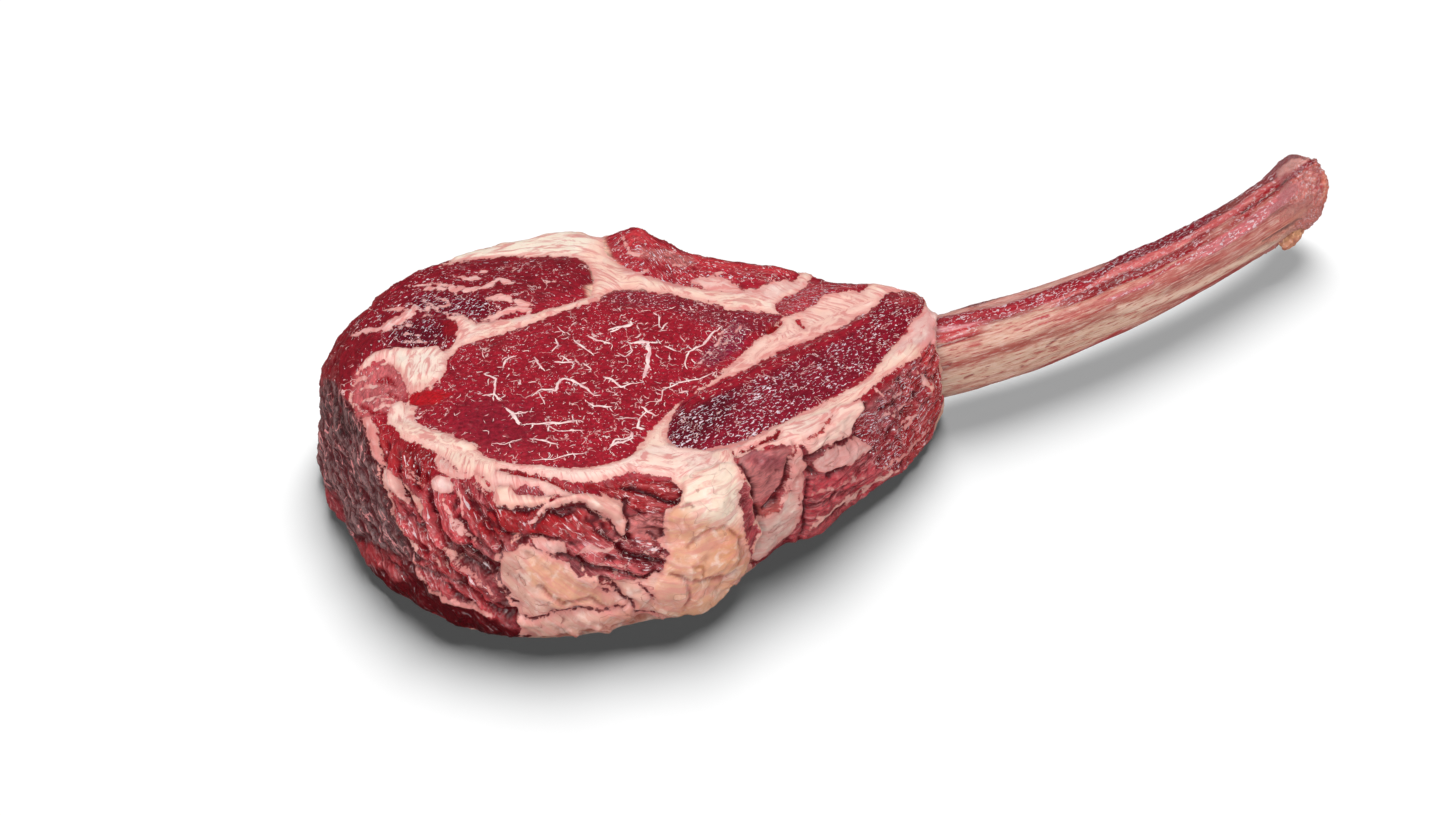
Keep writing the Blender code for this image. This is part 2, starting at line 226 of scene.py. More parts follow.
# Some CAD nodes in one mesh, with the corners that they share joined
def joined(names):
    bm = bmesh.new()
    for name in names:
        bm.from_mesh(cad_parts[name].data)
    bmesh.ops.remove_doubles(bm, verts=bm.verts[:], dist=1e-6)
    return bm


def nodeTree(names):
    bm = joined(names)
    for vertex in bm.verts:
        vertex.co /= mm
    tree = BVHTree.FromBMesh(bm)
    bm.free()
    return tree


# The mesh that an object's modifiers make of it; the object itself goes
def baked(thing):
    graph = bpy.context.evaluated_depsgraph_get()
    mesh = bpy.data.meshes.new_from_object(thing.evaluated_get(graph))
    bpy.data.objects.remove(thing)
    return mesh


# One even skin over some CAD nodes, in mm. Its flat underside gets faces coarse times as long.
def remeshed(names, voxel, swell=0.0, coarse=1):
    bm = joined(names)
    bm.normal_update()
    for vertex in bm.verts:
        vertex.co += vertex.normal * swell * mm
    mesh = bpy.data.meshes.new("rough")
    bm.to_mesh(mesh)
    bm.free()
    rough = addObject("rough", mesh)
    modifier = rough.modifiers.new("voxels", "REMESH")
    modifier.mode, modifier.voxel_size = "VOXEL", voxel * mm
    bm = bmesh.new()
    bm.from_mesh(baked(rough))
    keepLargest(bm)
    for vertex in bm.verts:
        vertex.co.z = max(vertex.co.z, 0)
    if coarse > 1:
        low = [v for v in bm.verts if v.co.z < 0.5 * voxel * mm]
        inner = [v for v in low if all(e.other_vert(v).co.z < 0.5 * voxel * mm for e in v.link_edges)]
        step = coarse * voxel * mm
        for vertex in inner:
            vertex.co = (round(vertex.co.x / step) * step, round(vertex.co.y / step) * step, 0)
        bmesh.ops.remove_doubles(bm, verts=inner, dist=1e-6)
    bm.verts.index_update()
    points = np.array([v.co for v in bm.verts]) / mm
    faces = [[v.index for v in f.verts] for f in bm.faces]
    bm.free()
    return points, faces


# Leaves only the largest of a mesh's bodies
def keepLargest(bm):
    seen, bodies = set(), []
    for first in bm.verts:
        if first in seen:
            continue
        seen.add(first)
        body, waiting = [], [first]
        while waiting:
            vertex = waiting.pop()
            body.append(vertex)
            for edge in vertex.link_edges:
                other = edge.other_vert(vertex)
                if other not in seen:
                    seen.add(other)
                    waiting.append(other)
        bodies.append(body)
    bodies.sort(key=len)
    for body in bodies[:-1]:
        bmesh.ops.delete(bm, geom=body, context="VERTS")


# A mesh held as arrays in mm while it is shaped and painted
class Skin:
    def __init__(self, name, points, faces):
        self.mesh = bpy.data.meshes.new(name)
        self.mesh.from_pydata(points * mm, [], faces)
        self.points = points
        self.links = np.array([e.vertices[:] for e in self.mesh.edges])
        self.count = np.bincount(self.links.ravel(), minlength=len(points))[:, None]
        self.refresh()

    def refresh(self):
        self.mesh.vertices.foreach_set("co", (self.points * mm).astype(np.float32).ravel())
        self.mesh.update()
        normals = np.empty(len(self.points) * 3, np.float32)
        self.mesh.vertex_normals.foreach_get("vector", normals)
        self.normals = normals.reshape(-1, 3).astype(float)

    # evens values out between neighbouring points
    def spread(self, values, rounds):
        a, b = self.links.T
        flat = np.ndim(values) == 1
        values = np.asarray(values, float).reshape(len(self.points), -1)
        for _ in range(rounds):
            total = np.column_stack([
                np.bincount(a, column[b], len(column)) + np.bincount(b, column[a], len(column))
                for column in values.T
            ])
            values = (values + total / self.count) / 2
        return values[:, 0] if flat else values

    def push(self, amount):
        self.points = self.points + self.normals * np.asarray(amount)[:, None]
        self.points[:, 2] = np.maximum(self.points[:, 2], 0.0)
        self.refresh()

    # how far each point lies in a hollow, in mm
    def hollow(self, rounds):
        return np.sum((self.spread(self.points, rounds) - self.points) * self.normals, axis=1)

    # from 1, straight at the camera, to -1
    def facing(self):
        return self.normals @ np.array(cameraAxes()[0])

    def store(self, name, values):
        values = np.asarray(values, np.float32)
        kinds = {1: ("FLOAT", "value"), 3: ("FLOAT_VECTOR", "vector"), 4: ("FLOAT_COLOR", "color")}
        kind, field = kinds[1 if values.ndim == 1 else values.shape[1]]
        self.mesh.attributes.new(name, kind, "POINT").data.foreach_set(field, values.ravel())

    def finish(self, material, replaced):
        self.mesh.shade_smooth()
        self.mesh.materials.append(material)
        piece = addObject(self.mesh.name, self.mesh)
        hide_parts(*replaced)
        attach(piece, "root")
        return piece


# Sets a node's inputs. Values that are outputs of other nodes are linked.
def fill(node, inputs):
    for socket, value in inputs.items():
        if isinstance(value, bpy.types.NodeSocket):
            node.id_data.links.new(value, node.inputs[socket])
        else:
            node.inputs[socket].default_value = value


# Adds a node with its settings and links, and gives back one of its outputs
def addNode(tree, kind, inputs=None, output=0, **settings):
    node = tree.nodes.new(kind if "Node" in kind else "ShaderNode" + kind)
    for name, value in settings.items():
        setattr(node, name, value)
    fill(node, inputs or {})
    return node.outputs[output] if len(node.outputs) else None


# Settings that many nodes share
rgba = {"output": 2, "data_type": "RGBA"}
smoothly = {"interpolation_type": "SMOOTHSTEP"}
times = {"operation": "MULTIPLY"}
plus = {"operation": "ADD"}
minus = {"operation": "SUBTRACT"}
larger = {"operation": "MAXIMUM"}


# Thin lines that wander, where a noise passes its middle value: full at the width "core", gone at "edge"
def noiseLines(add, inputs, edge, core, most=1.0):
    lines = add("TexNoise", inputs)
    lines = add("Math", {0: lines, 1: 0.5}, **minus)
    lines = add("Math", {0: lines}, operation="ABSOLUTE")
    return add("MapRange", {"Value": lines, "From Min": edge, "From Max": core, "To Max": most}, **smoothly)


# Raw beef cut with a knife: wet, slightly translucent, lean and fat crisply parted
rawBeef = {
    "colours": {
        "wetSideShade": "#FFC8C8", "dryStrand": "#94706F", "wetStrand": "#D0686A", "membrane": "#DC8A8A",
        "creaseShade": "#5A0410", "glint": "#F6E2E6", "hair": "#EFC6C2", "fleckRim": "#5A0A16",
        "fleckAndGlint": "#F6E6E8", "denseFleckAndGlint": "#E4D2DC", "curdled": "#FBEAE0", "freshCut": "#F2DDD2",
        "rosy": "#D88480", "crack": "#8E4236", "deepFat": "#A04A44", "blush": "#D8807C",
    },
    # how large each pattern is, mm
    "sizes": {
        "mottle": 9, "bundles": 1.1, "strands": 0.6, "membranes": 3.5, "clefts": 4.5, "glints": 1.1,
        "hairs": 7, "breaks": 4, "flecks": 0.6, "curdle": 5, "wisps": 2.5, "grit": 0.8, "border": 2.2,
        "ripples": 2,
    },
    "dryRoughness": 0.6,
    "wetRoughness": 0.16,
    "fatRoughness": 0.45,
    "relief": 0.0006,  # metres
}
# what the mesh carries: "lean" is how far a point lies inside the lean, in mm, "sheets" rises by one with
# every sheet of fat, "hollow" and "ridge" how far it lies in a hollow or on a crest, which painted shade
# darkens and a painted highlight lightens, "steep" how steep it is, and the rest how much of a finish there
# is
beefLayers = ("lean", "flecks", "streaks", "crackle", "wet", "ridge", "hollow", "steep", "sheets")


def makeRawBeef():
    material, shader, add = newMaterial("raw_beef_cut_with_a_knife")
    paint = {name: linear(colour) for name, colour in rawBeef["colours"].items()}
    pitch = {name: 1 / size for name, size in rawBeef["sizes"].items()}
    place = add("TexCoord", output="Object")
    place = add("VectorMath", {0: place, "Scale": 1 / mm}, operation="SCALE")
    grain = add("Attribute", output="Vector", attribute_name="grain")
    thread = add("VectorMath", {0: grain, 1: (0.6, 0.6, 1.0)}, **times)
    layer = {name: add("Attribute", output="Fac", attribute_name=name) for name in beefLayers}
    lean, fat = (add("Attribute", output="Color", attribute_name=name) for name in ("leanPaint", "fatPaint"))

    # lean: bundles of fibre about a millimetre across, darker between them
    mottle = add("TexNoise", {"Vector": place, "Scale": pitch["mottle"], "Detail": 3.0})
    bundles = add("TexNoise", {"Vector": grain, "Scale": pitch["bundles"], "Detail": 3.0, "Roughness": 0.6})
    shade = add("MapRange", {"Value": bundles, "From Min": 0.3, "From Max": 0.7, "To Min": 0.55,
                             "To Max": 1.25})
    broad = add("MapRange", {"Value": mottle, "From Min": 0.35, "From Max": 0.65, "To Min": 0.85,
                             "To Max": 1.12})
    shade = add("Math", {0: shade, 1: broad}, **times)
    lean = add("VectorMath", {0: lean, "Scale": shade}, operation="SCALE")
    # painted shade: the wet lean on the steep sides is made darker and redder, against the pale light of the
    # room
    wetSideShade = add("Math", {0: layer["wet"], 1: layer["steep"]}, **times)
    lean = add("Mix", {0: wetSideShade, 6: lean, 7: paint["wetSideShade"]}, **rgba, blend_type="MULTIPLY")

    # pale strands along the fibres, where the surface has dried or a membrane lies on it, and a painted
    # highlight that makes them paler on the crests of the folds
    strands = add("TexNoise", {"Vector": thread, "Scale": pitch["strands"], "Detail": 4.0, "Roughness": 0.65,
                               "Distortion": 1.2})
    strands = add("MapRange", {"Value": strands, "From Min": 0.50, "From Max": 0.62}, **smoothly)
    strands = add("Math", {0: strands, 1: layer["streaks"]}, **times)
    # painted highlight: the strands grow paler on the crests of the folds
    crestHighlight = add("Math", {0: layer["ridge"], 1: layer["streaks"]}, **times)
    crestHighlight = add("Math", {0: crestHighlight, 1: 0.8}, **times)
    strands = add("Math", {0: strands, 1: crestHighlight}, **larger)
    strand = add("MapRange", {"Value": layer["wet"], "From Min": 0.35, "From Max": 0.6})
    strand = add("Mix", {0: strand, 6: paint["dryStrand"], 7: paint["wetStrand"]}, **rgba)

    # membranes: thin pale lines that wander over the folds, and creases between them, which painted shade
    # darkens as it does the hollows
    membranes = noiseLines(add, {"Vector": thread, "Scale": pitch["membranes"], "Detail": 2.0,
                                 "Distortion": 0.8}, 0.018, 0.004)
    membranes = add("Math", {0: membranes, 1: layer["streaks"]}, **times)
    shifted = add("VectorMath", {0: thread, 1: (9.0, 5.0, 7.0)}, **plus)
    clefts = noiseLines(add, {"Vector": shifted, "Scale": pitch["clefts"], "Detail": 2.0, "Distortion": 0.6},
                        0.022, 0.004, 0.8)
    clefts = add("Math", {0: clefts, 1: layer["streaks"]}, **times)
    # painted shade: the lean darkens in the hollows and along the creases
    paintedShade = add("Math", {0: layer["hollow"], 1: 0.9}, **times)
    paintedShade = add("Math", {0: paintedShade, 1: clefts}, **larger)

    # painted glints: short white strokes in the colour, where the wet folds would catch the light
    glints = add("TexNoise", {"Vector": thread, "Scale": pitch["glints"], "Detail": 2.0, "Roughness": 0.6,
                              "Distortion": 0.7})
    glints = add("MapRange", {"Value": glints, "From Min": 0.62, "From Max": 0.66}, **smoothly)
    shining = add("MapRange", {"Value": layer["wet"], "From Min": 0.6, "From Max": 1.0, "To Max": 0.75})
    level = add("MapRange", {"Value": layer["hollow"], "From Min": 0.5, "From Max": 0.1})
    for share in (shining, level, layer["steep"]):
        glints = add("Math", {0: glints, 1: share}, **times)

    # hairs of fat that join up across the lean, wherever there are flecks
    hairs = noiseLines(add, {"Vector": place, "Scale": pitch["hairs"], "Detail": 3.0, "Roughness": 0.55,
                             "Distortion": 0.5}, 0.011, 0.003, 0.8)
    broken = add("TexNoise", {"Vector": place, "Scale": pitch["breaks"], "Detail": 2.0})
    broken = add("MapRange", {"Value": broken, "From Min": 0.50, "From Max": 0.56})
    some = add("MapRange", {"Value": layer["flecks"], "From Min": 0.1, "From Max": 0.4})
    for share in (broken, some):
        hairs = add("Math", {0: hairs, 1: share}, **times)

    # flecks: specks of fat and painted wet glints, lying along the fibres
    few = add("MapRange", {"Value": layer["flecks"], "To Min": 0.78, "To Max": 0.58})
    clusters = add("MapRange", {"Value": mottle, "From Min": 0.35, "From Max": 0.65, "To Min": 0.03,
                                "To Max": -0.03})
    few = add("Math", {0: few, 1: clusters}, **plus)
    specks = add("TexNoise", {"Vector": grain, "Scale": pitch["flecks"], "Detail": 1.5, "Roughness": 0.5,
                              "Distortion": 0.8})
    over = add("Math", {0: specks, 1: few}, **minus)
    flecks = add("MapRange", {"Value": over, "From Min": 0.0, "From Max": 0.03}, **smoothly)
    rim = add("MapRange", {"Value": over, "From Min": -0.05, "From Max": 0.0, "To Max": 0.22}, **smoothly)
    dense = add("MapRange", {"Value": layer["flecks"], "From Min": 0.5, "From Max": 0.8})
    fleckAndGlint = add("Mix", {0: dense, 6: paint["fleckAndGlint"], 7: paint["denseFleckAndGlint"]}, **rgba)
    coats = (
        (strands, strand), (membranes, paint["membrane"]), (paintedShade, paint["creaseShade"]), (glints, paint["glint"]),
        (hairs, paint["hair"]), (rim, paint["fleckRim"]), (flecks, fleckAndGlint),
    )
    for share, colour in coats:
        lean = add("Mix", {0: share, 6: lean, 7: colour}, **rgba)

    # fat: waxy, in thin sheets that end in fine cracks, paler on the cut top, pink where it meets the lean,
    # and darkened by painted shade in its hollows
    curdle = add("TexNoise", {"Vector": place, "Scale": pitch["curdle"], "Detail": 4.0, "Roughness": 0.6,
                              "Distortion": 0.8})
    pale = add("MapRange", {"Value": curdle, "From Min": 0.45, "From Max": 0.75, "To Max": 0.5}, **smoothly)
    fresh = add("MapRange", {"Value": layer["steep"], "To Min": 0.33, "To Max": 0.0})
    rosy = add("MapRange", {"Value": layer["steep"], "To Min": 0.8, "To Max": 0.5})
    wisps = add("TexNoise", {"Vector": thread, "Scale": pitch["wisps"], "Detail": 4.0, "Roughness": 0.6,
                             "Distortion": 1.0})
    pink = add("MapRange", {"Value": wisps, "From Min": 0.45, "From Max": 0.62, "To Max": rosy}, **smoothly)
    for share, colour in ((pale, "curdled"), (fresh, "freshCut"), (pink, "rosy")):
        fat = add("Mix", {0: share, 6: fat, 7: paint[colour]}, **rgba)
    sheet = add("Math", {0: layer["sheets"]}, operation="FLOOR")
    past = add("Math", {0: layer["sheets"]}, operation="FRACT")
    tint = add("TexWhiteNoise", {"W": sheet}, noise_dimensions="1D")
    tint = add("MapRange", {"Value": tint, "To Min": 0.84, "To Max": 1.06})
    fat = add("VectorMath", {0: fat, "Scale": tint}, operation="SCALE")
    width = add("MapRange", {"Value": curdle, "From Min": 0.4, "From Max": 0.6, "To Min": 0.02,
                             "To Max": 0.13})
    crack = add("MapRange", {"Value": past, "From Min": width, "From Max": 0.0}, **smoothly)
    crack = add("Math", {0: crack, 1: layer["crackle"]}, **times)
    # painted shade in the hollows of the fat
    deepFat = add("Math", {0: layer["hollow"], 1: 0.35}, **times)
    blush = add("MapRange", {"Value": layer["lean"], "From Min": -2.2, "From Max": -0.1, "To Max": 0.5},
                **smoothly)
    for share, colour in ((crack, "crack"), (deepFat, "deepFat"), (blush, "blush")):
        fat = add("Mix", {0: share, 6: fat, 7: paint[colour]}, **rgba)

    # the border wanders by about a millimetre
    ragged = add("TexNoise", {"Vector": place, "Scale": pitch["border"], "Detail": 4.0, "Roughness": 0.6})
    ragged = add("MapRange", {"Value": ragged, "To Min": -1.6, "To Max": 1.6})
    border = add("Math", {0: layer["lean"], 1: ragged}, **plus)
    isLean = add("MapRange", {"Value": border, "From Min": -0.2, "From Max": 0.2}, **smoothly)
    colour = add("Mix", {0: isLean, 6: fat, 7: lean}, **rgba)

    # wet lean shines, and the flecks on it a little more
    dry = add("MapRange", {"Value": layer["wet"], "To Min": rawBeef["dryRoughness"],
                           "To Max": rawBeef["wetRoughness"]})
    gloss = add("MapRange", {"Value": flecks, "To Min": 0.0, "To Max": -0.08})
    wetLean = add("Math", {0: dry, 1: gloss}, **plus)
    rough = add("Mix", {0: isLean, 2: rawBeef["fatRoughness"], 3: wetLean}, data_type="FLOAT")

    # fine relief: bundles, strands and ripples on the lean, sheets and grit on the fat
    height = bundles
    ripples = add("TexNoise", {"Vector": thread, "Scale": pitch["ripples"], "Detail": 1.0, "Roughness": 0.4,
                               "Distortion": 0.6})
    running = add("MapRange", {"Value": layer["wet"], "From Min": 0.4, "From Max": 1.0, "To Max": 1.6})
    for share, amount in ((flecks, 0.25), (strands, 0.8), (clefts, -1.0), (ripples, running)):
        share = add("Math", {0: share, 1: amount}, **times)
        height = add("Math", {0: height, 1: share}, **plus)
    edge = add("Math", {0: past, 1: layer["crackle"]}, **times)
    grit = add("TexNoise", {"Vector": place, "Scale": pitch["grit"], "Detail": 3.0, "Roughness": 0.6})
    waxy = add("Math", {0: grit, 1: 0.3}, **times)
    waxy = add("Math", {0: waxy, 1: edge}, **plus)
    height = add("Mix", {0: isLean, 2: waxy, 3: height}, data_type="FLOAT")
    bump = add("Bump", {"Height": height, "Strength": 0.7, "Distance": rawBeef["relief"]})
    fill(shader, {"Base Color": colour, "Roughness": rough, "Normal": bump, "IOR": 1.4,
                  "Subsurface Weight": 0.15, "Subsurface Radius": (1.0, 0.35, 0.25),
                  "Subsurface Scale": 0.002})
    return material


# The meat: one skin over the CAD's fat and muscles
steakMeat = {
    "voxel": 0.88,  # mm
    # how upright a face's normal is where the walls end, and where anything steep does
    "wall": (0.55, 0.9),
    "steep": (0.86, 0.97),
    "swell": 0.3,  # closes the seams between the solids
    "underside": 3,  # how much coarser its mesh is there
    "lean": "#A0182A",
    "leanWall": "#8A2630",
    "fat": "#F0C6B2",
    "fatWall": "#CF9884",
    "fibreStretch": 2.8,  # how much longer than wide the fibres and folds are
    "ribStretch": 2.4,
    "eyeStretch": 0.75,
    "ribFibres": 38.0,  # degrees from +X that the rib muscle's fibres run at
    "folds": 1.5,  # height of the folds on the sides, mm
    "lumps": [(1.2, 14, 3.1), (0.6, 5, 7.7)],  # on the sides: height and size in mm, and a seed
    "foldWander": 1.5,  # mm by which they stray
    "foldSize": 9,  # mm from one sharp fold to the next
    "lobeSize": 10,  # mm from one wet strand to the next
    "seamDepth": 0.3,  # how far a seam sinks into the cut face, and the fat stands out of it, mm
    "evenEdge": 5.0,  # mm above the table below which the folds fade
    "smoothing": 6,  # rounds that even out the voxels
    "sheets": 2.6,  # how closely the sheets of fat on the sides lie
    # how steeply the folds run down the side, against the angle round the steak
    "foldAngles": (0, 180, 215, 245, 265, 280, 300, 360),
    "foldSlopes": (0, 0.2, 0.9, 1.1, 0.6, 0.25, 0.0, 0.0),
    "wobble": 2.2,  # pixels by which the drawn outlines wander
    "patchSize": 9,  # mm, of the fat on the walls that the camera doesn't see
    "wet": 0.5,  # from dry at 0 to soaked at 1, where no zone says otherwise
    "softEdge": 1.5,  # mm; the width of a drawn zone's edge where it names no other
    "reach": 6,  # mm; no zone counts as deeper than this
    "strokeTaper": 11,  # pixels over which a stroke thins out at its ends
    # where the outline is moved to the photo's: a place and its radius, pixels, and mm to the right and back
    "nudges": [
        ((318, 440), 55, (2.0, 0.0)), ((322, 540), 45, (2.0, 0.5)), ((352, 305), 38, (2.4, -2.4)),
        ((430, 255), 40, (0.6, -2.0)), ((523, 236), 60, (0.0, -3.2)), ((585, 232), 26, (0.0, -1.6)),
        ((800, 262), 22, (0.0, -1.6)), ((912, 292), 18, (2.4, 1.2)), ((868, 522), 40, (-2.0, 2.4)),
        ((783, 548), 26, (0.0, 3.2)), ((728, 585), 26, (-2.6, 1.6)), ((640, 636), 60, (0.0, 0.9)),
    ],
}
muscleNodes = sorted(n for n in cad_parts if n.endswith("_muscle"))

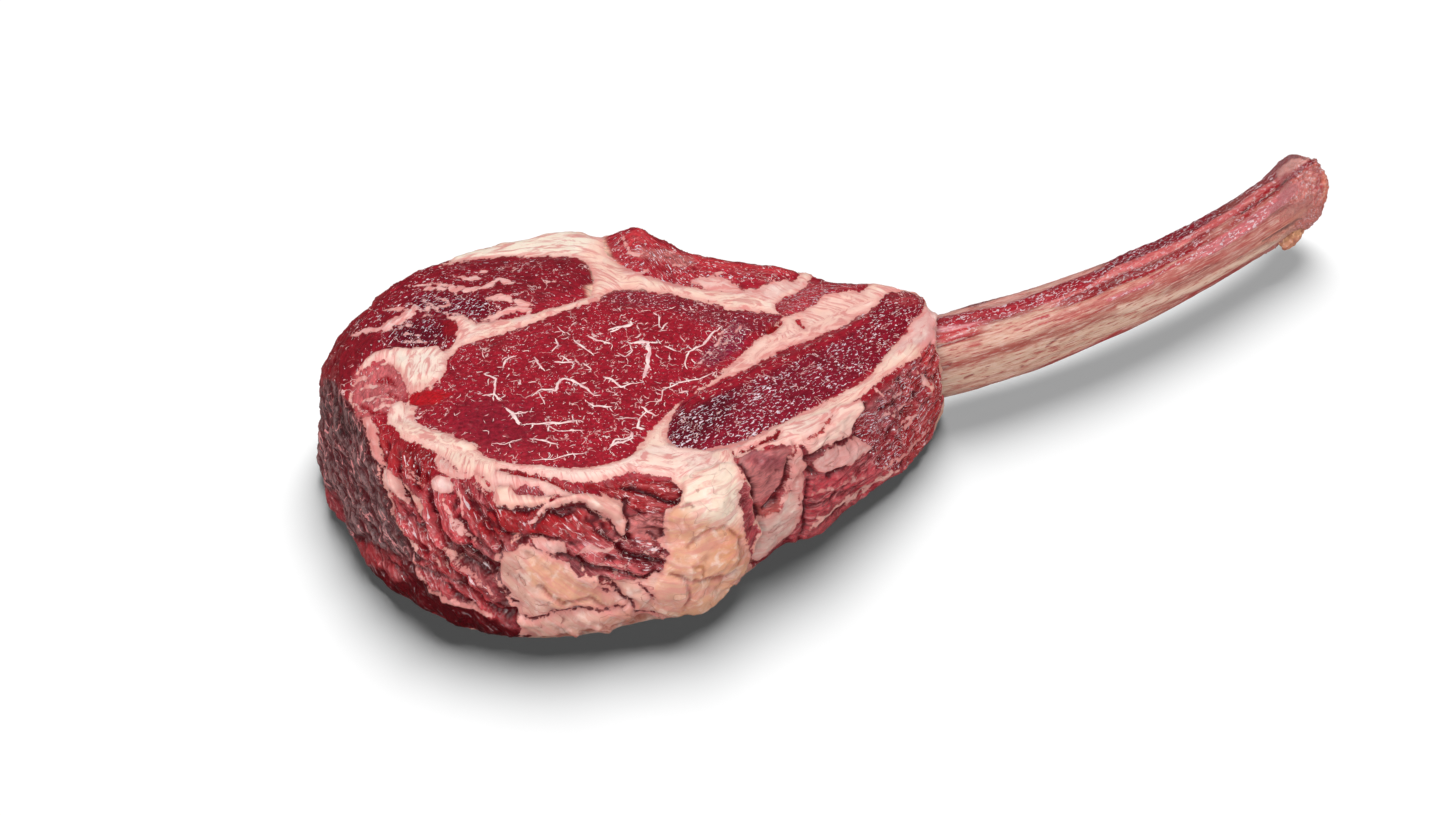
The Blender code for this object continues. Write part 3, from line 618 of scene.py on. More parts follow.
# Zones of the surface, drawn over the photo. "lean" or "fat" makes that of the zone, in its colour, and
# "paint" only colours it. "soft" is the width of its edge and "rise" how far it stands out, in mm, "at" is
# its outline in pixels, and the rest set how much of a finish it has.
meatZones = [
    # cap fat at the back
    dict(fat="#F1E3CE", soft=1, at=[(435, 267), (448, 261), (468, 250), (496, 248), (527, 235), (563, 231),
         (596, 231), (595, 241), (583, 251), (571, 256), (514, 256), (496, 257), (474, 258), (456, 263)]),
    # fat between the cap, the eye and the chine
    dict(paint="#EFBFA9", soft=3, at=[(585, 258), (590, 242), (602, 236), (622, 260), (650, 284), (640, 293),
         (605, 292), (590, 300), (584, 282)]),
    # cap
    dict(paint="#8A1424", flecks=0.6, at=[(322, 393), (330, 353), (350, 322), (385, 298), (413, 274),
         (437, 267), (468, 258), (573, 256), (587, 262), (595, 282), (527, 308), (488, 326), (448, 351),
         (421, 345), (369, 357), (340, 393)]),
    # two darker patches, thick with flecks, many of them painted glints
    dict(paint="#6E1426", soft=7, flecks=0.8, wet=1, at=[(409, 300), (421, 293), (460, 294), (488, 300),
         (496, 310), (472, 318), (437, 314), (417, 310)]),
    dict(paint="#681424", soft=7, flecks=0.8, wet=1, at=[(385, 338), (397, 326), (421, 318), (444, 322),
         (446, 338), (437, 347), (413, 347), (393, 345)]),
    dict(paint="#7E1420", soft=4, flecks=0.3, at=[(322, 393), (328, 365), (350, 330), (375, 326), (375, 342),
         (355, 365), (340, 389), (328, 405)]),
    # wedge of fat that runs into the cap
    dict(fat="#F0C9BA", soft=1, at=[(446, 315), (460, 314), (478, 323), (494, 326), (488, 332), (468, 340),
         (460, 344), (450, 353), (446, 351), (456, 338), (459, 326)]),
    dict(lean="#8E1420", soft=0.8, flecks=0.1, at=[(444, 323), (448, 320), (457, 322), (459, 329), (455, 335),
         (446, 335), (443, 332)]),
    # curl of fat
    dict(fat="#F3DBCB", soft=1, rise=0.9, at=[(359, 367), (375, 352), (393, 348), (421, 347), (439, 348),
         (447, 354), (446, 367), (439, 381), (427, 379), (417, 379), (409, 394), (405, 394), (409, 373),
         (395, 362), (375, 362), (355, 376)]),
    dict(lean="#D2686C", soft=4, rise=-0.3, flecks=0.45, streaks=0.35, wet=0.8, at=[(351, 393), (355, 376),
         (375, 365), (389, 364), (399, 371), (406, 387), (403, 399), (388, 409), (375, 415), (358, 419),
         (352, 407)]),
    dict(lean="#B5121E", soft=1, rise=-0.6, flecks=0.1, at=[(408, 394), (421, 387), (437, 390), (452, 394),
         (439, 403), (421, 406), (409, 403)]),
    # band of fat under the eye
    dict(fat="#F4CEC0", soft=1, rise=0.5, at=[(386, 413), (389, 405), (401, 400), (410, 410), (415, 421),
         (429, 428), (452, 434), (480, 448), (448, 452), (403, 436), (389, 425)]),
    # eye, darker and plainer at its lower left
    dict(paint="#8F1A2C", soft=10, flecks=0.12, at=[(460, 405), (488, 393), (527, 403), (547, 425),
         (527, 448), (484, 448), (448, 429)]),
    dict(soft=10, flecks=0.55, at=[(448, 353), (488, 334), (547, 314), (620, 294), (620, 326), (547, 342),
         (488, 373), (452, 393)]),
    # chine
    dict(paint="#B0202F", soft=2, flecks=0.75, streaks=0.4, wet=0.9, at=[(606, 241), (624, 232), (641, 226),
         (659, 243), (683, 253), (711, 260), (790, 263), (795, 272), (778, 280), (719, 280), (679, 288),
         (626, 272), (610, 257)]),
    dict(paint="#C8303A", flecks=0.6, streaks=0.35, wet=0.9, at=[(624, 234), (641, 226), (659, 243),
         (683, 253), (711, 259), (738, 263), (790, 263), (794, 274), (762, 271), (711, 267), (685, 259),
         (665, 248), (647, 241), (638, 245), (628, 245)]),
    dict(paint="#CC6A68", flecks=0.8, streaks=0.6, at=[(630, 251), (643, 247), (665, 249), (693, 258),
         (695, 264), (677, 266), (657, 260), (638, 257)]),
    dict(fat="#DFA79F", streaks=0.8, at=[(689, 283), (711, 274), (730, 280), (744, 291), (770, 283),
         (798, 279), (816, 283), (788, 292), (770, 302), (746, 296), (711, 291)]),
    # wedge
    dict(paint="#B62A38", flecks=0.85, streaks=0.5, wet=0.9, at=[(776, 302), (794, 293), (821, 283),
         (871, 281), (877, 285), (843, 288), (821, 302), (798, 311), (783, 315)]),
    # upper rim of the eye
    dict(lean="#921A2C", flecks=0.7, at=[(598, 297), (612, 291), (627, 289), (653, 291), (678, 295),
         (701, 302), (726, 308), (752, 311), (772, 313), (783, 318), (779, 327), (760, 335), (730, 332),
         (700, 322), (660, 308), (620, 305)]),
    # strip of fat over the rib muscle
    dict(fat="#F0B8A8", soft=1, at=[(782, 318), (806, 309), (827, 294), (857, 290), (881, 293), (883, 304),
         (857, 317), (837, 328), (798, 343), (778, 352), (748, 368), (719, 381), (687, 397), (727, 369),
         (746, 349), (764, 334)]),
    # slots cut into it
    dict(lean="#A00F1A", soft=0.6, rise=-1.6, flecks=0, at=[(764, 329), (771, 323), (781, 320), (782, 323),
         (775, 330), (767, 333)]),
    dict(lean="#B02630", soft=0.6, rise=-0.8, flecks=0, at=[(795, 321), (800, 318), (805, 328), (799, 326)]),
    # glossy end of the eye
    dict(paint="#86203A", soft=3, flecks=0.6, streaks=0.3, wet=1, at=[(697, 362), (711, 344), (729, 328),
         (733, 320), (742, 322), (751, 330), (742, 345), (727, 357), (711, 367)]),
    # rib muscle, thick with flecks, many of them painted glints
    dict(paint="#861A2C", soft=1, flecks=0.84, wet=1, at=[(669, 448), (669, 425), (685, 403), (719, 385),
         (778, 357), (837, 332), (877, 308), (910, 294), (910, 322), (877, 365), (837, 393), (778, 425),
         (738, 448), (683, 460)]),
    dict(paint="#681424", soft=6, flecks=1, at=[(669, 448), (671, 423), (687, 405), (723, 389), (738, 393),
         (730, 413), (711, 432), (683, 456)]),
    dict(paint="#9C1C2C", soft=2.5, flecks=0.45, at=[(685, 403), (719, 385), (778, 358), (837, 332),
         (877, 308), (910, 294), (910, 302), (877, 318), (837, 342), (778, 367), (723, 393), (687, 411)]),
    # dried skin of the left side
    dict(lean="#4A1D23", soft=1.2, flecks=0, streaks=0.9, wet=0.3, folds=0.9, at=[(316, 407), (323, 378),
         (335, 382), (356, 416), (365, 433), (373, 458), (377, 475), (382, 489), (388, 504), (400, 532),
         (413, 546), (419, 563), (403, 558), (379, 546), (354, 538), (348, 519), (325, 483), (318, 441)]),
    dict(lean="#2E0E12", soft=3, streaks=0.7, wet=0.3, at=[(323, 407), (337, 395), (354, 416), (364, 433),
         (352, 439), (335, 433)]),
    # its dark wet foot
    dict(lean="#560610", soft=1.2, flecks=0.1, streaks=0, wet=0.7, folds=0.9, at=[(344, 534), (354, 538),
         (379, 546), (403, 557), (419, 565), (436, 584), (457, 603), (478, 610), (493, 615), (506, 623),
         (520, 632), (535, 638), (531, 646), (512, 645), (457, 635), (409, 614), (377, 584), (346, 555)]),
    dict(lean="#8A2028", soft=2, flecks=0.1, streaks=0.35, at=[(352, 538), (379, 548), (407, 565), (411, 580),
         (390, 576), (363, 559)]),
    # pale edge of the front left
    dict(fat="#D9827C", rise=0.6, at=[(359, 418), (371, 416), (377, 433), (379, 452), (387, 463), (381, 467),
         (373, 456), (367, 439)]),
    # red lobe under the band
    dict(lean="#A81E2A", soft=1.2, flecks=0.4, streaks=0.2, wet=1, folds=1.2, at=[(376, 420), (390, 424),
         (403, 437), (428, 447), (438, 455), (434, 468), (428, 481), (422, 491), (409, 482), (394, 469),
         (383, 460), (378, 441)]),
    dict(lean="#8E0F1A", rise=-0.5, flecks=0.6, at=[(405, 443), (424, 447), (436, 456), (434, 471),
         (426, 483), (415, 481), (409, 466)]),
    # band of fat, its lower end
    dict(fat="#F0C9B4", soft=1, rise=0.6, at=[(391, 420), (403, 423), (428, 433), (457, 439), (472, 445),
         (485, 456), (497, 462), (507, 467), (493, 469), (478, 469), (472, 477), (457, 471), (447, 460),
         (436, 452), (424, 447), (411, 441), (400, 437), (394, 428)]),
    dict(fat="#D39A90", soft=2, at=[(436, 454), (447, 460), (457, 471), (472, 477), (466, 483), (453, 479),
         (440, 473), (435, 464)]),
    # pale lump
    dict(lean="#B23A44", soft=1.2, rise=0.8, flecks=0.25, streaks=0.45, wet=1, folds=1.5, at=[ (378, 465),
         (389, 465), (400, 477), (409, 492), (419, 510), (432, 538), (438, 555), (428, 550), (411, 536),
         (394, 513), (384, 492), (378, 481)]),
    dict(fat="#E3B0A6", rise=0.5, at=[(378, 467), (388, 465), (394, 475), (403, 489), (407, 504), (398, 500),
         (388, 489), (379, 481)]),
    # strand of fat down the front left
    dict(fat="#D9A79A", soft=0.8, rise=0.8, at=[(377, 471), (382, 473), (388, 489), (398, 513), (411, 536),
         (428, 550), (436, 561), (430, 561), (411, 544), (396, 519), (384, 496)]),
    # pink lobe
    dict(lean="#C04652", soft=1.2, rise=0.9, flecks=0.3, streaks=0.4, wet=1, folds=1.7, at=[ (428, 481),
         (436, 475), (449, 475), (462, 483), (466, 500), (470, 519), (478, 538), (485, 546), (472, 546),
         (457, 538), (445, 546), (434, 538), (424, 515), (422, 500)]),
    dict(fat="#E8BDB8", soft=2, at=[(429, 481), (438, 476), (449, 478), (455, 487), (449, 496), (436, 492)]),
    dict(lean="#9C1A28", flecks=0.25, streaks=0.35, wet=1, folds=1.8, at=[(424, 513), (436, 538), (453, 555),
         (470, 576), (483, 588), (491, 605), (478, 609), (457, 599), (438, 580), (428, 559), (415, 538)]),
    # wet crease, sunk far in, its red darkened almost to black with painted shade
    dict(lean="#2C060C", soft=1.2, rise=-2.2, flecks=0.25, wet=1, at=[(455, 543), (470, 546), (485, 558),
         (500, 565), (496, 576), (485, 579), (472, 568), (458, 556)]),
    dict(lean="#A42530", flecks=0.15, streaks=0.3, wet=0.8, folds=1.7, at=[(415, 559), (436, 565), (457, 576),
         (478, 588), (493, 603), (520, 616), (512, 622), (487, 616), (462, 603), (440, 588), (424, 576)]),
    # a small dark hollow, darkened with painted shade
    dict(lean="#3A0C12", soft=1, rise=-0.8, flecks=0.1, at=[(495, 603), (508, 601), (518, 607), (520, 615),
         (506, 614), (496, 609)]),
    # low band of fat under the eye
    dict(fat="#F6D2C6", soft=1, rise=0.4, at=[(495, 461), (512, 464), (542, 464), (563, 468), (584, 471),
         (613, 463), (640, 452), (668, 445), (710, 452), (731, 473), (668, 475), (626, 473), (605, 475),
         (584, 483), (569, 481), (542, 473), (510, 469)]),
    dict(fat="#ECB0A6", at=[(493, 469), (510, 472), (539, 476), (563, 485), (579, 494), (569, 498),
         (554, 494), (539, 498), (523, 493), (512, 486), (496, 489), (491, 483)]),
    # red pocket in the flap
    dict(lean="#B4404A", soft=1, rise=-0.6, flecks=0.7, streaks=0.6, at=[(514, 487), (523, 484), (537, 487),
         (545, 493), (533, 495), (518, 494)]),
    # first flap
    dict(fat="#F1C6B0", soft=0.8, rise=1.4, at=[(495, 489), (512, 485), (517, 494), (533, 498), (546, 496),
         (557, 497), (548, 503), (533, 506), (512, 508), (497, 504)]),
    # shoulder
    dict(lean="#9E0F1D", soft=1.2, flecks=0.3, streaks=0.15, wet=1, folds=1.2, at=[(457, 477), (474, 480),
         (489, 494), (495, 506), (512, 509), (536, 509), (533, 521), (520, 532), (499, 540), (483, 538),
         (472, 525), (466, 504)]),
    dict(lean="#B03842", flecks=0.4, streaks=0.8, at=[(459, 479), (474, 481), (485, 494), (489, 508),
         (478, 510), (470, 504), (462, 492)]),
    dict(lean="#A01220", soft=1.2, rise=-0.8, flecks=0.35, wet=1, folds=1.2, at=[(531, 521), (542, 513),
         (563, 504), (571, 517), (573, 538), (558, 540), (533, 538), (525, 532)]),
    dict(lean="#B0202C", rise=-0.4, flecks=0.3, streaks=0.3, wet=1, folds=1.2, at=[ (565, 506), (584, 504),
         (605, 513), (615, 525), (605, 538), (584, 540), (571, 534)]),
    # second flap, curled over the red
    dict(fat="#EBBFAE", soft=0.8, rise=1.7, at=[(536, 515), (544, 507), (558, 499), (579, 494), (600, 496),
         (615, 503), (625, 515), (628, 535), (621, 534), (613, 523), (603, 513), (584, 504), (563, 504),
         (548, 509), (539, 520)]),
    dict(lean="#A8343C", soft=2, flecks=0.3, streaks=0.5, wet=0.9, at=[(485, 538), (512, 542), (531, 538),
         (563, 542), (571, 555), (552, 557), (531, 546), (510, 550), (495, 553)]),
    # fat of the front
    dict(fat="#D8A494", crackle=0.7, folds=0.5, at=[(495, 555), (512, 550), (529, 546), (548, 555),
         (569, 565), (584, 578), (605, 580), (640, 567), (668, 580), (668, 609), (621, 622), (584, 630),
         (520, 637), (516, 616), (506, 601), (495, 580)]),
    dict(fat="#DEA284", soft=3, rise=0.6, crackle=0.2, folds=0.25, at=[(529, 557), (548, 557), (563, 567),
         (579, 576), (605, 582), (613, 595), (611, 607), (584, 609), (558, 607), (539, 588), (525, 576)]),
    dict(fat="#DDA9A0", soft=1, rise=1, at=[(529, 539), (546, 540), (563, 542), (568, 555), (552, 555),
         (537, 548)]),
    # bruised fat and small membranes
    dict(lean="#BC5C62", soft=2, flecks=0.3, streaks=0.8, wet=0.9, folds=1.2, at=[(569, 546), (605, 538),
         (640, 538), (657, 555), (647, 580), (615, 580), (600, 567), (581, 567)]),
    dict(lean="#7A2432", soft=2.5, rise=-0.6, flecks=0.4, streaks=0.5, wet=1, folds=1, at=[ (627, 535),
         (653, 539), (669, 552), (661, 575), (642, 573), (627, 560), (613, 547)]),
    dict(lean="#C87672", soft=2, flecks=0.15, streaks=0.7, at=[(627, 516), (663, 514), (665, 535), (648, 547),
         (627, 535)]),
    dict(fat="#CB8E7C", crackle=0.6, at=[(600, 581), (613, 581), (638, 602), (655, 613), (642, 619),
         (600, 627)]),
    # pocket of red
    dict(lean="#A01420", soft=1, rise=-1.3, flecks=0.35, streaks=0.35, wet=1, folds=1.5, at=[ (600, 483),
         (613, 478), (642, 475), (665, 479), (683, 489), (681, 503), (663, 512), (642, 513), (625, 503),
         (613, 495), (600, 490)]),
    dict(fat="#E0A698", soft=1, rise=1.2, at=[(600, 493), (613, 497), (623, 505), (627, 526), (625, 537),
         (613, 530), (600, 518)]),
    # hard lump of fat at the right of the front
    dict(fat="#DCA080", soft=0.9, rise=1, crackle=0.35, folds=0.3, at=[(684, 478), (718, 465), (737, 466),
         (746, 486), (750, 505), (755, 530), (748, 556), (738, 575), (721, 602), (714, 612), (663, 614),
         (651, 608), (657, 581), (669, 556), (665, 535), (665, 518), (682, 501)]),
    dict(fat="#ECD2BE", soft=6, at=[(684, 478), (718, 465), (737, 466), (746, 486), (750, 503), (747, 518),
         (730, 526), (709, 520), (690, 514), (680, 505)]),
    dict(fat="#DC9870", soft=6, at=[(718, 526), (735, 530), (747, 535), (747, 556), (735, 568), (718, 560),
         (714, 543)]),
    dict(fat="#DCA48C", soft=2, rise=0.5, at=[(659, 577), (684, 581), (686, 602), (669, 613), (653, 606)]),
    dict(fat="#F2CDBD", rise=0.4, at=[(638, 453), (669, 453), (697, 469), (699, 474), (674, 478),
         (642, 472)]),
    # right side
    dict(lean="#A8404A", soft=1, flecks=0.15, streaks=0.6, wet=0.6, folds=0.5, at=[(735, 455), (789, 448),
         (802, 463), (832, 469), (874, 442), (930, 421), (930, 463), (874, 493), (810, 543), (789, 537),
         (760, 560), (747, 566)]),
    # purple fold of skin
    dict(lean="#C88482", soft=1.2, rise=0.6, flecks=0, streaks=0.12, wet=0.6, folds=0.15, at=[ (735, 458),
         (760, 451), (789, 449), (788, 472), (779, 486), (768, 497), (756, 505), (750, 488), (741, 472)]),
    dict(lean="#A45C62", soft=4, flecks=0, streaks=0.05, at=[(747, 451), (773, 454), (787, 457), (781, 469),
         (764, 469), (747, 463)]),
    # salmon skin under it
    dict(lean="#B4544C", flecks=0, streaks=0.4, at=[(755, 507), (768, 499), (781, 499), (777, 509),
         (766, 518), (753, 518)]),
    # pale smooth fold
    dict(fat="#DAB0A4", soft=1, rise=0.6, folds=0.15, at=[(754, 521), (766, 515), (779, 505), (785, 490),
         (796, 490), (800, 509), (799, 528), (783, 537), (760, 561), (747, 563), (748, 547)]),
    # fibrous side of the tail
    dict(lean="#C24250", soft=1.2, flecks=0.15, streaks=0.7, wet=0.6, folds=0.5, at=[(802, 484), (827, 476),
         (863, 469), (895, 446), (930, 423), (930, 453), (895, 480), (853, 505), (823, 535), (800, 540),
         (789, 537), (802, 518), (800, 499)]),
    dict(lean="#BE5A60", soft=2, flecks=0, streaks=0.5, folds=0.4, at=[(796, 537), (823, 535), (853, 509),
         (861, 499), (853, 495), (823, 514), (802, 530)]),
    # light fold of fat over it
    dict(fat="#EFC6B8", soft=1, rise=0.8, at=[(735, 451), (747, 443), (760, 440), (779, 427), (802, 421),
         (832, 411), (859, 398), (865, 406), (859, 423), (840, 442), (821, 448), (810, 455), (802, 444),
         (789, 445), (764, 447), (737, 458)]),
    dict(fat="#DDA09A", soft=1.2, rise=0.9, streaks=0.6, at=[(810, 461), (823, 452), (842, 447), (863, 436),
         (874, 440), (874, 451), (855, 463), (838, 468), (821, 473)]),
    dict(fat="#D99A90", soft=0.8, rise=1.1, at=[(789, 447), (800, 447), (804, 463), (800, 480), (798, 493),
         (787, 488), (789, 472)]),
    # hole beside it, darkened with painted shade
    dict(lean="#5E0A10", soft=0.6, rise=-2.2, flecks=0, at=[(804, 469), (812, 468), (820, 476), (810, 474)]),
    # end of the tail
    dict(lean="#982636", flecks=0.8, streaks=0.55, wet=0.9, folds=0.15, at=[ (861, 419), (880, 400),
         (899, 375), (916, 358), (937, 366), (939, 413), (920, 446), (895, 469), (874, 469), (871, 448),
         (859, 438)]),
    dict(lean="#AA1226", soft=3, flecks=0.7, streaks=0.4, wet=1, folds=0.25, at=[(905, 413), (922, 404),
         (937, 392), (939, 417), (924, 446), (903, 463), (895, 446)]),
    dict(lean="#A4505C", soft=3, flecks=0.8, streaks=0.5, at=[(874, 400), (893, 387), (899, 408), (890, 425),
         (874, 434), (865, 417)]),
    # end of the rib muscle, up to the rim
    dict(lean="#861628", soft=2, flecks=0.7, wet=1, at=[(872, 312), (880, 299), (889, 293), (905, 291),
         (922, 295), (927, 304), (919, 312), (909, 323), (900, 337), (886, 354), (868, 368), (860, 340)]),
    dict(lean="#A02430", soft=3, flecks=0.6, streaks=0.2, at=[(886, 300), (896, 292), (912, 292), (924, 298),
         (926, 305), (912, 306), (898, 304)]),
    # pink skin round the end
    dict(fat="#DC9C98", rise=0.2, streaks=0.6, at=[(927, 304), (935, 318), (936, 345), (925, 349), (912, 345),
         (903, 350), (893, 356), (899, 342), (910, 325), (920, 313)]),
    # rim of the end
    dict(lean="#B82C34", soft=2, flecks=0.55, streaks=0.7, wet=0.9, folds=0.3, at=[(920, 350), (931, 342),
         (941, 350), (950, 375), (948, 400), (940, 425), (926, 450), (908, 470), (900, 455), (916, 428),
         (926, 400), (926, 372)]),
]

# Folds and creases that keep their colour: how far each stands out and how wide it is, in mm, and its line in
# pixels
meatRidges = [
    (-0.5, 1, [(483, 456), (491, 475), (495, 483)]),
    (1, 1.5, [(363, 479), (373, 504), (388, 529), (398, 546)]),
    (0.9, 1.4, [(335, 431), (339, 462), (346, 489), (354, 510), (361, 529)]),
    (-1, 1.2, [(348, 433), (352, 462), (361, 487), (369, 508), (379, 534)]),
    (-0.8, 1.2, [(329, 441), (331, 466), (342, 489), (350, 513)]),
    (0.4, 0.7, [(496, 505), (512, 508), (536, 506), (548, 503)]),
    (0.8, 1, [(546, 504), (563, 500), (584, 500), (605, 506), (615, 517)]),
    (0.8, 1.3, [(499, 515), (516, 517), (529, 516)]),
    (0.8, 1.2, [(565, 504), (568, 519), (573, 538)]),
    (0.8, 1.4, [(520, 622), (542, 625), (573, 622), (605, 618)]),
    (-0.8, 1, [(665, 535), (669, 547), (659, 556)]),
    (-2.4, 1.3, [(741, 467), (752, 488), (755, 507), (760, 530), (753, 558), (745, 575)]),
    (-1.3, 1, [(808, 478), (804, 499), (805, 522), (800, 539)]),
    (-1, 0.9, [(829, 476), (850, 463), (871, 453), (876, 442)]),
    (-0.7, 0.9, [(821, 526), (853, 499), (874, 484)]),
]

